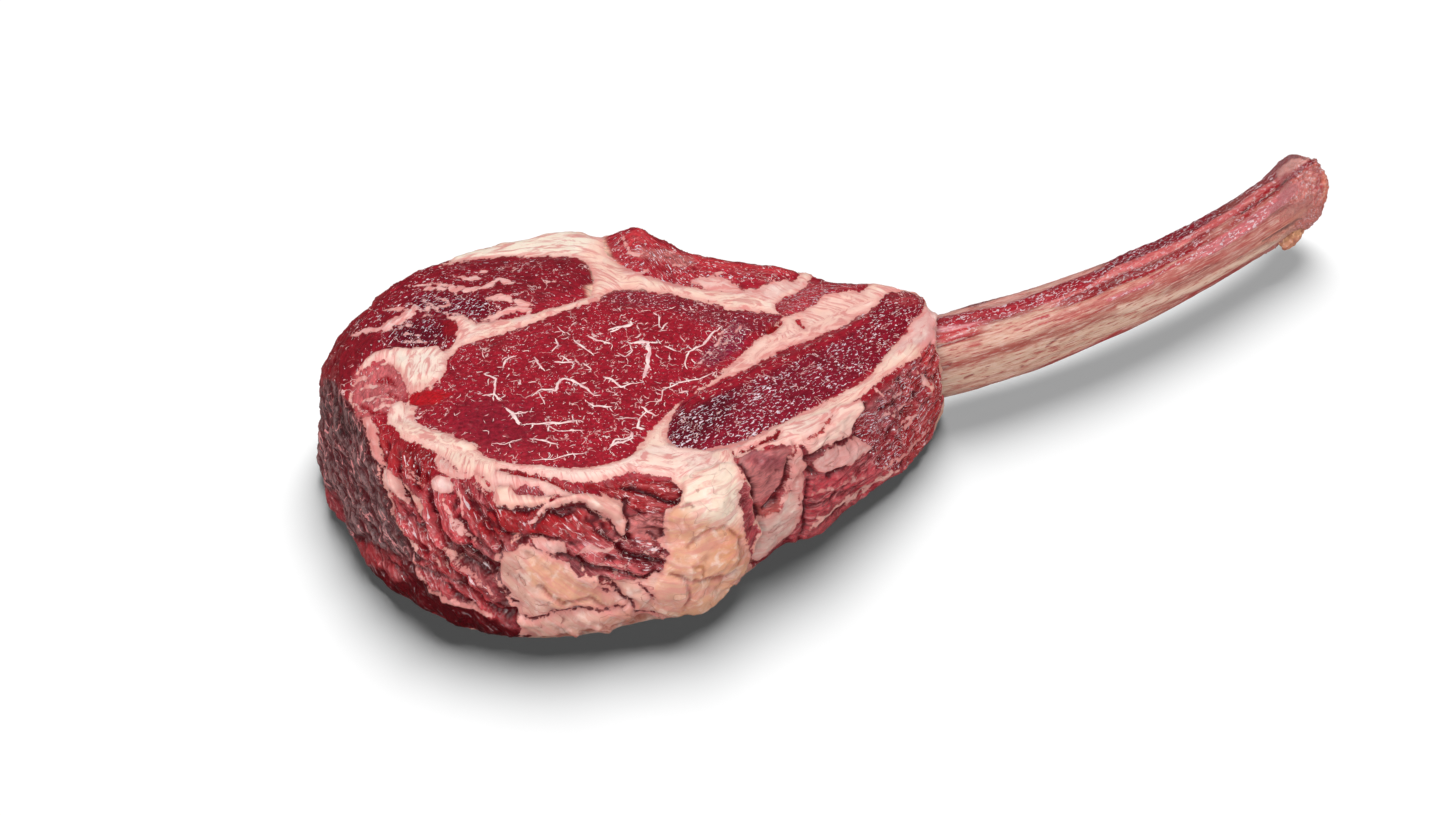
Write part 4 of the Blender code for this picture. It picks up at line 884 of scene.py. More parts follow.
# Seams, flaps and strands of lean or fat in their colours: how far they stand out and how wide that rise is,
# in mm, and their lines in pixels, each led by its half width in mm
meatStrokes = [
    # streaks of fat in the cap
    dict(fat="#F2D0CC", rise=0.2, lines=[
        (0.55, (409, 287), (429, 283), (448, 286), (478, 289), (500, 280), (520, 284)),
        (0.8, (421, 290), (437, 288), (452, 290), (480, 290)),
        (0.8, (456, 274), (468, 279), (478, 279), (486, 276)),
    ]),
    dict(fat="#F0CEC8", rise=0.2, lines=[(1.5, (377, 331), (393, 322), (407, 314), (417, 308), (421, 308))]),
    dict(fat="#DDA8A6", rise=0.1, lines=[(0.8, (352, 335), (367, 330), (385, 329))]),
    dict(fat="#DDA8A6", lines=[(0.6, (385, 310), (395, 308), (409, 308))]),
    dict(fat="#F2D0CC", lines=[
        (0.5, (408, 298), (413, 306)),
        (0.7, (421, 312), (437, 307), (448, 304)),
    ]),
    dict(fat="#ECC4BC", rise=0.2, lines=[(0.9, (486, 299), (500, 297), (512, 299), (526, 303), (537, 307))]),
    dict(fat="#E8B8B0", rise=0.3, lines=[(1, (482, 320), (496, 316), (506, 310), (518, 307), (529, 311),
         (527, 318), (516, 322))]),
    dict(fat="#F2D0CC", lines=[
        (0.5, (510, 263), (515, 268), (512, 271)),
        (0.5, (478, 274), (488, 270)),
        (0.8, (545, 283), (555, 281)),
    ]),
    dict(fat="#DDA8A6", lines=[(0.5, (421, 318), (429, 315), (439, 316))]),
    # pale streaks over the glossy end of the eye, partly painted highlight
    dict(fat="#D9B4BC", lines=[
        (0.3, (697, 365), (708, 357), (720, 346)),
        (0.3, (714, 336), (724, 329), (733, 323)),
        (0.3, (704, 357), (716, 345), (728, 331)),
        (0.3, (736, 333), (741, 327), (746, 320)),
        (0.3, (700, 372), (712, 364)),
        (0.3, (722, 345), (733, 335)),
    ]),
    dict(fat="#EFC4BE", rise=0.1, lines=[
        (0.6, (352, 385), (360, 378), (372, 374)),
        (0.5, (356, 392), (368, 386), (384, 384)),
    ]),
    dict(fat="#EBB8B4", rise=0.1, lines=[(0.5, (362, 401), (374, 396), (392, 398))]),
    dict(fat="#EFC4BE", rise=0.1, lines=[(0.5, (370, 409), (384, 404), (396, 405))]),
    dict(fat="#EBB8B4", rise=0.1, lines=[(0.6, (350, 399), (358, 408), (366, 414))]),
    # painted highlight: lilac streaks over the cap's two dark patches
    dict(fat="#D9C4CC", rise=0.1, lines=[
        (0.4, (418, 300), (430, 303), (442, 309)),
        (0.35, (428, 295), (446, 300), (458, 308)),
        (0.4, (436, 311), (450, 313), (464, 314)),
        (0.35, (414, 306), (424, 310)),
        (0.4, (392, 330), (402, 326), (414, 325)),
        (0.4, (396, 337), (410, 333), (424, 336)),
        (0.35, (404, 342), (416, 341), (428, 342)),
    ]),
    dict(lean="#A01624", rise=-0.5, wide=1.2, lines=[
        (0.9, (376, 380), (388, 378), (396, 384)),
        (0.9, (360, 404), (372, 410), (384, 412)),
        (0.9, (388, 392), (398, 396)),
    ]),
    # arcs of fat in the chine
    dict(fat="#DC9C98", lines=[
        (0.7, (623, 235), (625, 245), (630, 252), (638, 255), (644, 251)),
        (0.5, (689, 283), (703, 277), (727, 271)),
    ]),
    dict(fat="#E0AAA4", lines=[
        (0.5, (626, 272), (640, 274), (651, 267)),
        (0.4, (673, 265), (691, 263), (694, 267)),
    ]),
    dict(fat="#C86464", lines=[(0.4, (770, 283), (774, 280), (776, 274))]),
    # red crease in the low band
    dict(lean="#9A0E1A", rise=-1.2, lines=[(0.7, (498, 468), (512, 471), (537, 475), (558, 483), (577, 493),
         (584, 491))]),
    dict(lean="#A4121E", rise=-1.2, wide=1.2, lines=[(0.8, (577, 493), (590, 485), (605, 483))]),
    dict(lean="#B83A40", rise=-1, lines=[(0.5, (478, 471), (489, 483), (492, 494), (495, 504), (499, 507))]),
    # dark edge of the left side, a crease darkened with painted shade
    dict(lean="#2A0A0E", rise=-1.4, wide=1.3, lines=[(0.5, (359, 420), (365, 437), (373, 460), (378, 467),
         (381, 489), (390, 510), (405, 540), (419, 559))]),
    # ridges of the front left, with the lean creases between them darkened by painted shade
    dict(lean="#7A1620", rise=-1.5, wide=1.1, lines=[(0.5, (398, 479), (405, 494), (419, 517), (436, 544),
         (453, 559))]),
    dict(fat="#E08C8C", rise=0.6, wide=0.8, lines=[(0.45, (403, 473), (415, 481), (425, 485))]),
    dict(fat="#E08C8C", rise=0.5, wide=0.7, lines=[(0.45, (407, 466), (415, 475), (424, 479))]),
    dict(fat="#E6B4B0", rise=0.9, wide=1.2, lines=[(0.6, (445, 500), (455, 519), (466, 534), (476, 544))]),
    dict(lean="#7A1A24", rise=-1.4, wide=1.2, lines=[(0.6, (432, 508), (440, 529), (451, 546), (462, 559),
         (476, 578))]),
    dict(fat="#E4A8A6", rise=0.8, wide=1.2, lines=[(0.6, (455, 487), (462, 500), (464, 517))]),
    dict(fat="#C08078", rise=1.2, wide=1.3, lines=[(0.7, (436, 586), (445, 595), (457, 603), (474, 609),
         (491, 616))]),
    dict(fat="#A86460", rise=1, wide=1.3, lines=[(0.5, (415, 555), (419, 567), (430, 580), (436, 588))]),
    dict(fat="#E0B0A4", rise=0.8, wide=1.2, lines=[(1, (434, 559), (440, 563), (445, 567))]),
    dict(lean="#4E1218", rise=-1, lines=[(0.45, (400, 555), (424, 567), (445, 576), (470, 588))]),
    dict(fat="#B06460", rise=0.8, lines=[(0.45, (451, 555), (466, 572), (478, 580), (491, 588), (495, 601))]),
    dict(lean="#8A5A5C", rise=-1, wide=1.2, lines=[(0.45, (502, 544), (499, 563), (497, 580), (510, 601),
         (518, 609))]),
    # painted shadow under the flaps, between flap and shoulder, and lean creases around them darkened by
    # painted shade
    dict(lean="#5A0A12", rise=-1.3, wide=0.9, lines=[(0.5, (497, 505), (512, 509), (533, 508), (542, 504))]),
    dict(lean="#5E0A14", rise=-1.3, wide=0.9, lines=[(0.45, (539, 521), (549, 511), (563, 505), (584, 506),
         (601, 514), (612, 525), (620, 535))]),
    dict(lean="#6E0A16", rise=-1.2, wide=1.1, lines=[(0.5, (474, 483), (485, 496), (491, 508), (499, 513))]),
    dict(lean="#6E0A16", rise=-1.3, wide=1.2, lines=[(0.5, (462, 483), (470, 496), (478, 513), (493, 525),
         (512, 534))]),
    dict(fat="#DC8A8C", rise=0.7, wide=1.1, lines=[(0.45, (470, 481), (483, 489), (489, 498))]),
    dict(lean="#74101C", rise=-1.1, wide=1.1, lines=[(0.5, (491, 534), (510, 538), (533, 537), (558, 541))]),
    dict(fat="#EBC0BC", rise=0.8, wide=0.8, lines=[(0.5, (526, 524), (537, 519), (542, 513))]),
    dict(lean="#7E0E18", rise=-1.8, lines=[(0.45, (626, 500), (625, 515), (628, 538))]),
    dict(fat="#E8BDB6", rise=0.7, lines=[(0.9, (578, 552), (590, 547), (602, 548), (613, 545))]),
    dict(fat="#E2B2AC", rise=0.8, lines=[(0.7, (592, 562), (602, 565), (614, 563), (624, 567))]),
    dict(fat="#ECC8C0", rise=0.5, lines=[(0.6, (613, 543), (620, 540), (628, 544))]),
    dict(fat="#DDA89C", rise=0.6, lines=[(0.8, (635, 580), (643, 584), (653, 588))]),
    dict(fat="#E4B6A8", rise=0.7, lines=[(0.8, (574, 574), (583, 578), (592, 584))]),
    dict(fat="#D9A29A", rise=0.6, lines=[(0.5, (600, 574), (610, 577), (618, 575))]),
    dict(fat="#E8BDB6", rise=0.6, lines=[(0.6, (640, 548), (648, 552), (655, 550))]),
    dict(fat="#E0AEA6", rise=0.5, lines=[(0.5, (626, 572), (632, 577), (640, 575))]),
    dict(lean="#6A1024", rise=-1, wide=1.2, lines=[
        (0.8, (570, 566), (580, 569), (592, 568)),
        (1.2, (624, 556), (631, 560), (639, 561)),
        (1, (646, 556), (652, 564), (656, 573)),
        (0.6, (606, 556), (614, 557), (620, 553)),
        (0.5, (596, 588), (606, 590), (614, 594)),
    ]),
    # cracks of the front fat
    dict(fat="#A8644E", rise=-0.7, wide=0.8, lines=[(0.45, (539, 586), (554, 597), (565, 603), (590, 599),
         (609, 609))]),
    dict(lean="#9A3C3C", rise=-1.2, wide=0.9, lines=[(0.45, (600, 582), (613, 588), (626, 599), (632, 607))]),
    dict(fat="#E8B8A4", rise=0.9, wide=1.1, lines=[(0.8, (581, 567), (588, 578), (599, 575), (594, 584))]),
    dict(lean="#8E5048", rise=-1, wide=0.9, lines=[(0.45, (510, 618), (533, 618), (556, 613), (584, 609),
         (609, 610), (626, 607))]),
    dict(lean="#8A3434", rise=-1, wide=0.9, lines=[(0.45, (600, 577), (613, 583), (623, 596), (632, 602))]),
    dict(lean="#A05A4C", rise=-0.8, wide=0.8, lines=[(0.45, (632, 602), (636, 613), (655, 613))]),
    dict(lean="#8E3A3C", rise=-0.9, lines=[(0.45, (623, 560), (632, 577), (653, 596), (655, 600))]),
    dict(fat="#D8A090", rise=0.7, lines=[(0.45, (638, 589), (646, 585), (655, 583), (651, 594))]),
    # cracks of the lump
    dict(fat="#B8764E", rise=-0.9, wide=0.9, lines=[(0.45, (687, 547), (699, 533), (712, 527), (726, 527))]),
    dict(fat="#B8704A", rise=-0.8, wide=0.9, lines=[(0.45, (726, 527), (737, 535), (741, 547), (737, 566))]),
    dict(fat="#9E5E46", rise=-0.9, wide=0.8, lines=[(0.45, (669, 573), (684, 579), (701, 581), (718, 577),
         (735, 570))]),
    dict(fat="#9E5E46", rise=-0.8, wide=0.8, lines=[(0.45, (686, 582), (689, 596), (684, 608))]),
    dict(fat="#B8764E", rise=-0.6, wide=0.8, lines=[(0.45, (690, 564), (701, 566), (703, 577))]),
    dict(fat="#D9A890", rise=0.9, wide=1.1, lines=[(0.6, (659, 556), (674, 560), (688, 566), (690, 579))]),
    dict(fat="#8A5A48", rise=-0.5, wide=0.5, lines=[(0.45, (680, 509), (690, 505), (693, 507))]),
    # sharp right edge of the lump
    dict(fat="#EFC9A8", rise=1.2, wide=1.5, lines=[(0.6, (738, 469), (747, 488), (751, 507), (755, 532),
         (749, 557), (739, 576))]),
    # folds of the right side, with the lean creases between them darkened by painted shade
    dict(fat="#D69A92", rise=1.2, wide=1.2, lines=[(0.45, (790, 447), (793, 469), (787, 482), (781, 497),
         (777, 507))]),
    dict(lean="#A02A30", rise=-1.2, wide=0.8, lines=[(0.45, (790, 455), (785, 480), (773, 501), (764, 509))]),
    dict(fat="#CC9288", rise=1.1, lines=[(0.5, (805, 465), (799, 484), (801, 509), (801, 526))]),
    dict(lean="#8A0C16", rise=-1.2, wide=0.8, lines=[(0.6, (737, 453), (760, 445), (779, 432), (775, 438),
         (760, 444))]),
    dict(lean="#9A1620", rise=-1.2, wide=0.8, lines=[(0.5, (732, 451), (737, 455), (739, 463))]),
    dict(lean="#C0504E", rise=-0.8, wide=0.7, lines=[(0.5, (806, 440), (819, 432), (827, 423), (834, 415))]),
    dict(lean="#B03A3C", rise=-1.2, wide=0.8, lines=[(0.45, (792, 442), (793, 451), (790, 463))]),
    dict(lean="#3A1A20", rise=-1.6, wide=0.8, lines=[(0.45, (838, 445), (853, 434), (861, 419), (866, 404))]),
    dict(fat="#E6BEB0", rise=0.6, lines=[(0.9, (810, 528), (832, 514), (848, 501), (871, 483), (895, 469))]),
    dict(fat="#B8706C", rise=0.6, wide=0.9, lines=[(0.45, (810, 493), (838, 484), (863, 476))]),
    dict(lean="#6E2028", rise=-0.7, wide=0.8, lines=[(0.45, (806, 509), (827, 499), (853, 488))]),
    dict(fat="#D08880", rise=0.6, lines=[(0.45, (880, 469), (899, 455), (916, 442), (928, 427))]),
    dict(fat="#D8A49A", rise=0.7, wide=1.2, lines=[(0.5, (916, 404), (911, 421), (899, 432))]),
    dict(fat="#E6B8B4", rise=0.4, lines=[
        (0.5, (872, 385), (880, 392), (884, 402)),
        (0.5, (892, 398), (900, 392), (908, 394)),
        (0.7, (896, 412), (902, 406), (910, 404)),
        (0.8, (918, 372), (924, 378), (922, 386)),
        (0.5, (880, 420), (890, 414), (898, 418)),
        (0.5, (902, 424), (908, 418), (916, 412)),
        (0.4, (888, 376), (894, 368), (902, 366)),
    ]),
    dict(lean="#8E0816", rise=-1.2, wide=1.5, lines=[
        (1.2, (900, 380), (906, 388), (904, 396)),
        (1.2, (914, 394), (910, 404), (904, 412)),
        (1.2, (884, 408), (892, 404), (896, 398)),
    ]),
    # bead of fat on the rim
    dict(fat="#F0C4AC", rise=1.3, wide=1.4, lines=[(1.3, (926, 383), (931, 387), (930, 391))]),
    dict(lean="#A80C1C", rise=-1.2, wide=1.5, lines=[(1.5, (912, 376), (917, 386), (915, 394))]),
    dict(lean="#8C2A24", rise=-0.6, lines=[(0.5, (752, 566), (756, 562), (760, 566))]),
    dict(fat="#B26A58", rise=-0.5, wide=0.8, lines=[(0.7, (533, 639), (552, 637), (584, 633), (615, 627),
         (647, 621))]),
]


# Coordinates that follow the fibres, in mm: short steps along them, true ones across. They run round the
# steak's side and up over its edge, and straight along the rib muscle.
def fibreCoordinates(skin):
    hub = (Vector(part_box("fat_body")[0]) + Vector(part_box("fat_body")[1])) / 2 / mm
    offset = skin.points[:, :2] - np.array(hub[:2])
    angle = np.degrees(np.arctan2(offset[:, 1], offset[:, 0])) % 360
    reach = np.hypot(*offset.T)
    bins = np.arange(361)
    edge = np.zeros(361)
    np.maximum.at(edge, np.round(angle).astype(int), reach)
    edge[0] = edge[360] = max(edge[0], edge[360])
    rim = np.column_stack([np.cos(np.radians(bins)), np.sin(np.radians(bins))]) * edge[:, None]
    way = np.concatenate([[0], np.cumsum(np.hypot(*np.diff(rim, axis=0).T))])
    slopes = np.interp(bins, steakMeat["foldAngles"], steakMeat["foldSlopes"])
    slide = np.concatenate([[0], np.cumsum(np.diff(way) * (slopes[1:] + slopes[:-1]) / 2)])
    along = np.interp(angle, bins, way)
    turn = 2 * math.pi * along / way[-1]
    radius = way[-1] / 2 / math.pi / steakMeat["fibreStretch"]
    inward = np.interp(angle, bins, edge) - reach
    across = skin.points[:, 2] + inward + np.interp(angle, bins, slide)
    fibres = np.column_stack([radius * np.cos(turn), radius * np.sin(turn), across])

    heading = math.radians(steakMeat["ribFibres"])
    forward = skin.points[:, :2] @ np.array([math.cos(heading), math.sin(heading)])
    sideways = skin.points[:, :2] @ np.array([-math.sin(heading), math.cos(heading)])
    ribs = np.column_stack([forward / steakMeat["ribStretch"], sideways, skin.points[:, 2]])
    onTop = skin.normals[:, 2] > 0.6
    nearest = {}
    for name in ("rib_muscle", "eye_muscle"):
        tree = nodeTree([name])
        nearest[name] = np.array([tree.find_nearest(Vector(p), 2.5)[3] is not None for p in skin.points])
    fibres = np.where((nearest["rib_muscle"] & onTop)[:, None], ribs, fibres)
    evenGrain = skin.points * np.array([steakMeat["eyeStretch"], 1.0, 1.0])
    return np.where(nearest["eye_muscle"][:, None], evenGrain, fibres)


# Lays the drawn zones and strokes on the side that the camera sees; gives back how far they rise
def drawOn(skin, layers):
    wander = [cloud(skin.points, 5, 3, seed) * steakMeat["wobble"] for seed in (20.5, 60.5)]
    spots = inPicture(skin.points) + np.column_stack(wander)
    seen = smooth(-0.05, 0.15, skin.facing())
    beyond = np.where(seen > 0.5, 0.0, 99.0)
    rise = np.zeros(len(spots))
    for zone in meatZones:
        soft = zone.get("soft", steakMeat["softEdge"])
        depth = depthInside(spots, zone["at"])
        share = smooth(-soft / 2, soft / 2, depth) * seen
        inner = np.minimum(depth, steakMeat["reach"])
        if "lean" in zone:
            layers["lean"] = np.maximum(layers["lean"], inner - beyond)
        elif "fat" in zone:
            layers["lean"] = np.minimum(layers["lean"], beyond - inner)
        for kind in ("lean", "fat"):
            if kind in zone or "paint" in zone:
                colour = np.array(linear(zone.get(kind, zone.get("paint"))))
                layers[kind + "Paint"] = blend(layers[kind + "Paint"], colour, share[:, None])
        for name in ("flecks", "streaks", "crackle", "wet", "folds"):
            if name in zone:
                layers[name] = blend(layers[name], zone[name], share)
        rise += zone.get("rise", 0.0) * share
    for height, width, line in meatRidges:
        rise += height * np.exp(-(strokeDistance(spots, line) / width) ** 2) * seen
    for stroke in meatStrokes:
        kind = "lean" if "lean" in stroke else "fat"
        colour = np.array(linear(stroke[kind]))
        for inner, *line in stroke["lines"]:
            near = strokeDistance(spots, line)
            rise += stroke.get("rise", 0.0) * np.exp(-(near / stroke.get("wide", 1.0)) ** 2) * seen
            ends = np.hypot(*(spots[:, None] - np.array([line[0], line[-1]])).transpose(2, 0, 1))
            # it thins out at its ends
            depth = inner * (0.3 + 0.7 * smooth(0, steakMeat["strokeTaper"], ends.min(axis=1))) - near
            share = smooth(-0.6, 0.2, depth) * seen
            if kind == "lean":
                layers["lean"] = np.maximum(layers["lean"], depth - beyond)
            else:
                layers["lean"] = np.minimum(layers["lean"], beyond - depth)
            layers[kind + "Paint"] = blend(layers[kind + "Paint"], colour, share[:, None])
    return rise


# How far each point, in mm, is from a tree's surface
def distances(tree, points):
    return np.array([tree.find_nearest(Vector(p))[3] for p in points])


def makeSteakMeat(material):
    points, faces = remeshed(["fat_body"] + muscleNodes, steakMeat["voxel"], steakMeat["swell"],
                             steakMeat["underside"])
    skin = Skin("steakMeat", points, faces)
    report(f"meat remeshed: {len(points)} points")
    skin.points = skin.spread(skin.points, steakMeat["smoothing"])
    skin.refresh()
    toFat, toLean = (distances(nodeTree(names), skin.points) for names in (["fat_body"], muscleNodes))
    place = inPicture(skin.points)
    for spot, radius, shift in steakMeat["nudges"]:
        share = np.exp(-(np.hypot(*(place - spot).T) / radius) ** 2)
        skin.points[:, :2] += share[:, None] * np.array(shift)
    skin.refresh()
    fibres = fibreCoordinates(skin)
    report("lean, fat and fibres mapped")

    wall, steep = (1 - smooth(*steakMeat[key], np.abs(skin.normals[:, 2])) for key in ("wall", "steep"))
    layers = {
        "lean": skin.spread(toFat - toLean, 1),
        "flecks": 0.5 - 0.3 * wall,
        "streaks": 0.3 * wall,
        "crackle": 0.6 * wall,
        "wet": np.full(len(skin.points), steakMeat["wet"]),
        "folds": wall,
    }
    for name in ("lean", "fat"):
        top, side = (np.array(linear(steakMeat[key])) for key in (name, name + "Wall"))
        layers[name + "Paint"] = blend(top, side, wall[:, None])
    # membranes and patches of fat on the side that the camera doesn't see
    patches = cloud(fibres, steakMeat["patchSize"], 3, 31.0)
    unseen = smooth(0.1, -0.1, skin.facing()) * wall
    wandering = cloud(skin.points * np.array([1, 1, 1.6]), 12, 4, 17.0)
    layers["lean"] += unseen * (2.0 + 7.0 * wandering - 9.0 * smooth(0.05, 0.45, patches))
    layers["folds"] *= 1 - 0.45 * unseen
    drawn = drawOn(skin, layers)

    strays = np.column_stack([cloud(skin.points, 6, 2, seed) for seed in (1.5, 4.5, 7.5)])
    folded = fibres + steakMeat["foldWander"] * strays
    layers["sheets"] = steakMeat["sheets"] * cloud(fibres * np.array([1.8, 1.8, 1.0]), 16, 3, 5.3) + 10
    lumps = sum(height * cloud(skin.points, size, 3, seed) for height, size, seed in steakMeat["lumps"])
    meaty = smooth(-1.5, 0.3, layers["lean"])
    # wet lean swells into rounded strands with creases between, and the rest stands up in sharp folds
    lobed = smooth(0.4, 0.8, layers["wet"]) * meaty
    sharp = 1.3 * crests(folded, steakMeat["foldSize"], 3, 3.1) - 0.6
    creases = 2.4 * crests(folded, steakMeat["lobeSize"], 1, 3.1) ** 2 + 0.35 * crests(folded, 4, 1, 8.8) ** 2
    fold = blend(sharp, 0.8 - creases, lobed)
    relief = wall * lumps + steep * layers["folds"] * steakMeat["folds"] * fold
    fine = cloud(folded * np.array([0.6, 0.6, 1.0]), 2.2, 2, 6.6)
    relief += wall * (0.06 + 0.16 * meaty - 0.1 * lobed) * fine
    relief += layers["crackle"] * wall * 0.7 * (layers["sheets"] % 1 - 0.5)
    seam = smooth(0.0, 2.0, -layers["lean"]) - np.exp(-(layers["lean"] / 0.9) ** 2)
    relief += (1 - wall) * (steakMeat["seamDepth"] * seam + 0.18 * cloud(fibres, 2.5, 2, 9.1))
    height = skin.points[:, 2] - skin.points[:, 2].min()
    relief *= 0.35 + 0.65 * smooth(0.5, steakMeat["evenEdge"], height)
    skin.push(relief + drawn)
    # how far each point lies in a hollow and on a crest; the shader paints shade into the hollows and a
    # highlight onto the crests
    hollow = skin.hollow(6)
    layers["hollow"] = steep * (0.55 * smooth(0.03, 0.3, hollow) + 0.8 * smooth(0.05, 0.9, skin.hollow(40)))
    layers["ridge"] = steep * smooth(0.04, 0.3, -hollow)
    layers["steep"] = steep
    skin.store("grain", fibres)
    del layers["folds"]
    for name, values in layers.items():
        skin.store(name, values)
    report("meat painted")
    return skin, skin.finish(material, ["fat_body"] + muscleNodes)


# Veins of fat in the lean: raised ribbons along paths drawn over the photo
fatVeins = {
    "thick": 0.62,  # half width in mm of a vein of weight 1
    "flatness": 0.4,
    "proud": 0.18,  # mm
    "step": 0.7,
    "lumps": 2.4,  # mm from one swelling to the next
    "wander": 0.6,
    "seed": 11,
    "drift": 1.8,  # mm over which the wandering changes
    "branching": 2.6,  # mm along a drawn vein from one side branch to the next
    "branchWeights": (0.16, 0.32),
    "branchStride": (0.6, 1.5),  # mm
    "twigs": 260,  # small extra veins scattered over the eye muscle
    "twigWeights": (0.12, 0.32),
    "twigStride": (0.4, 1.2),  # mm
    "twigSteps": (3, 6),  # the fewest, and one more than the most
    "twigBorder": 1.5,  # mm; they keep at least this far from the seams
    "colour": "#F6DCD8",
    "pink": "#E3AEB0",
    "patches": 3,  # mm
}
# each vein's weight and its path in pixels
veinPaths = [
    (1.5, [(618, 341), (632, 343), (648, 342), (649, 353), (647, 369), (641, 383)]),
    (0.6, [(600, 340), (612, 344)]), (0.4, [(630, 344), (632, 351), (625, 357), (617, 353)]),
    (0.5, [(648, 342), (658, 343)]), (0.5, [(641, 383), (632, 383), (621, 387), (612, 379), (604, 378)]),
    (0.9, [(606, 330), (612, 329), (620, 327), (631, 324), (630, 320)]),
    (0.6, [(723, 326), (711, 334), (703, 345), (689, 351), (685, 363), (687, 369)]),
    (0.4, [(719, 371), (699, 379), (679, 383), (663, 390), (661, 401), (649, 402)]),
    (0.4, [(678, 393), (689, 391)]), (0.6, [(641, 406), (647, 411), (657, 416)]),
    (0.6, [(647, 411), (639, 418), (637, 428), (645, 429)]), (0.35, [(615, 419), (638, 418)]),
    (0.35, [(600, 406), (612, 407)]), (0.7, [(609, 446), (615, 440), (631, 437), (631, 430)]),
    (0.4, [(653, 312), (658, 316)]), (0.5, [(660, 330), (668, 323)]), (0.5, [(664, 345), (677, 352)]),
    (0.5, [(659, 314), (659, 328)]), (0.6, [(484, 373), (496, 379), (495, 389), (492, 400)]),
    (0.6, [(482, 396), (493, 394), (500, 401)]),
    (0.7, [(531, 396), (541, 389), (555, 390), (558, 383), (565, 378), (577, 383), (587, 389), (593, 395),
          (602, 395)]), (0.35, [(539, 391), (545, 405)]), (0.5, [(587, 401), (593, 406), (612, 407)]),
    (1.0, [(506, 407), (512, 413), (520, 425)]),
    (0.5, [(520, 425), (532, 424), (547, 423), (565, 422), (581, 420)]),
    (0.35, [(547, 425), (557, 431), (585, 430)]), (0.5, [(508, 413), (520, 414), (529, 411)]),
    (0.5, [(503, 369), (506, 361), (512, 357), (518, 356)]), (0.6, [(534, 357), (539, 365), (545, 371)]),
    (0.6, [(554, 362), (565, 362), (575, 362)]), (0.4, [(563, 356), (569, 362)]),
    (0.5, [(573, 340), (583, 347), (595, 356)]), (0.5, [(552, 352), (558, 345), (555, 338)]),
    (0.6, [(587, 336), (598, 340), (607, 342)]), (0.5, [(609, 332), (620, 329)]),
    (0.5, [(603, 377), (610, 378), (618, 385)]), (0.4, [(583, 363), (592, 370)]),
    (0.4, [(557, 326), (565, 334)]), (0.5, [(529, 439), (542, 440), (560, 445)]),
    (0.4, [(532, 460), (554, 459), (573, 454), (589, 452)]), (0.35, [(544, 425), (563, 423), (573, 422)]),
    (0.6, [(609, 449), (613, 444), (632, 439), (632, 432)]), (0.35, [(491, 443), (504, 444), (515, 442)]),
]


# Ribbons with a lens-shaped section along curves. The curve's radius is the ribbon's half width.
def buildRibbonTree():
    group = bpy.data.node_groups.new("fatRibbons", "GeometryNodeTree")
    add = functools.partial(addNode, group)
    inputs, outputs = group.nodes.new("NodeGroupInput"), group.nodes.new("NodeGroupOutput")
    sizes = {"Step": "step", "Flatness": "flatness", "Lumps": "lumps"}
    kinds = {"Paths": "Geometry", **dict.fromkeys(sizes, "Float"), "Material": "Material"}
    for name, kind in kinds.items():
        group.interface.new_socket(name, in_out="INPUT", socket_type="NodeSocket" + kind)
    group.interface.new_socket("Ribbons", in_out="OUTPUT", socket_type="NodeSocketGeometry")
    given = inputs.outputs
    even = add("GeometryNodeResampleCurve", {"Curve": given["Paths"], "Length": given["Step"]}, mode="LENGTH")
    # thin at both ends
    along = add("GeometryNodeSplineParameter")
    rest = add("Math", {0: 1.0, 1: along}, **minus)
    taper = add("Math", {0: along, 1: rest}, **times)
    taper = add("Math", {0: taper, 1: 4.0}, **times)
    taper = add("Math", {0: taper, 1: 0.45}, operation="POWER")
    pitch = add("Math", {0: 1.0, 1: given["Lumps"]}, operation="DIVIDE")
    lumps = add("TexNoise", {"Scale": pitch, "Detail": 2.0, "Roughness": 0.6})
    lumps = add("MapRange", {"Value": lumps, "From Min": 0.38, "From Max": 0.62, "To Min": 0.75,
                             "To Max": 1.4})
    radius = add("GeometryNodeInputRadius")
    for share in (lumps, taper):
        radius = add("Math", {0: radius, 1: share}, **times)
    lens = add("CombineXYZ", {"X": 1.0, "Y": given["Flatness"], "Z": 1.0})
    ring = add("GeometryNodeCurvePrimitiveCircle", {"Resolution": 6, "Radius": 1.0}, mode="RADIUS")
    ring = add("GeometryNodeTransform", {"Geometry": ring, "Scale": lens})
    solid = add("GeometryNodeCurveToMesh", {"Curve": even, "Profile Curve": ring, "Scale": radius,
                                            "Fill Caps": True})
    real = add("GeometryNodeRealizeInstances", {"Geometry": solid})
    painted = add("GeometryNodeSetMaterial", {"Geometry": real, "Material": given["Material"]})
    fill(outputs, {"Ribbons": painted})
    return group, {name: fatVeins[key] * (1 if key == "flatness" else mm) for name, key in sizes.items()}


def makeVeinFat():
    # waxy and pink, with the red of the lean showing through
    material, shader, add = newMaterial("intramuscular_fat")
    place = add("TexCoord", output="Object")
    patches = add("TexNoise", {"Vector": place, "Scale": 1 / (fatVeins["patches"] * mm), "Detail": 3.0})
    patches = add("MapRange", {"Value": patches, "From Min": 0.4, "From Max": 0.65})
    colour = add("Mix", {0: patches, 6: linear(fatVeins["colour"]), 7: linear(fatVeins["pink"])}, **rgba)
    fill(shader, {"Base Color": colour, "Roughness": 0.4, "Specular IOR Level": 0.4})
    return material


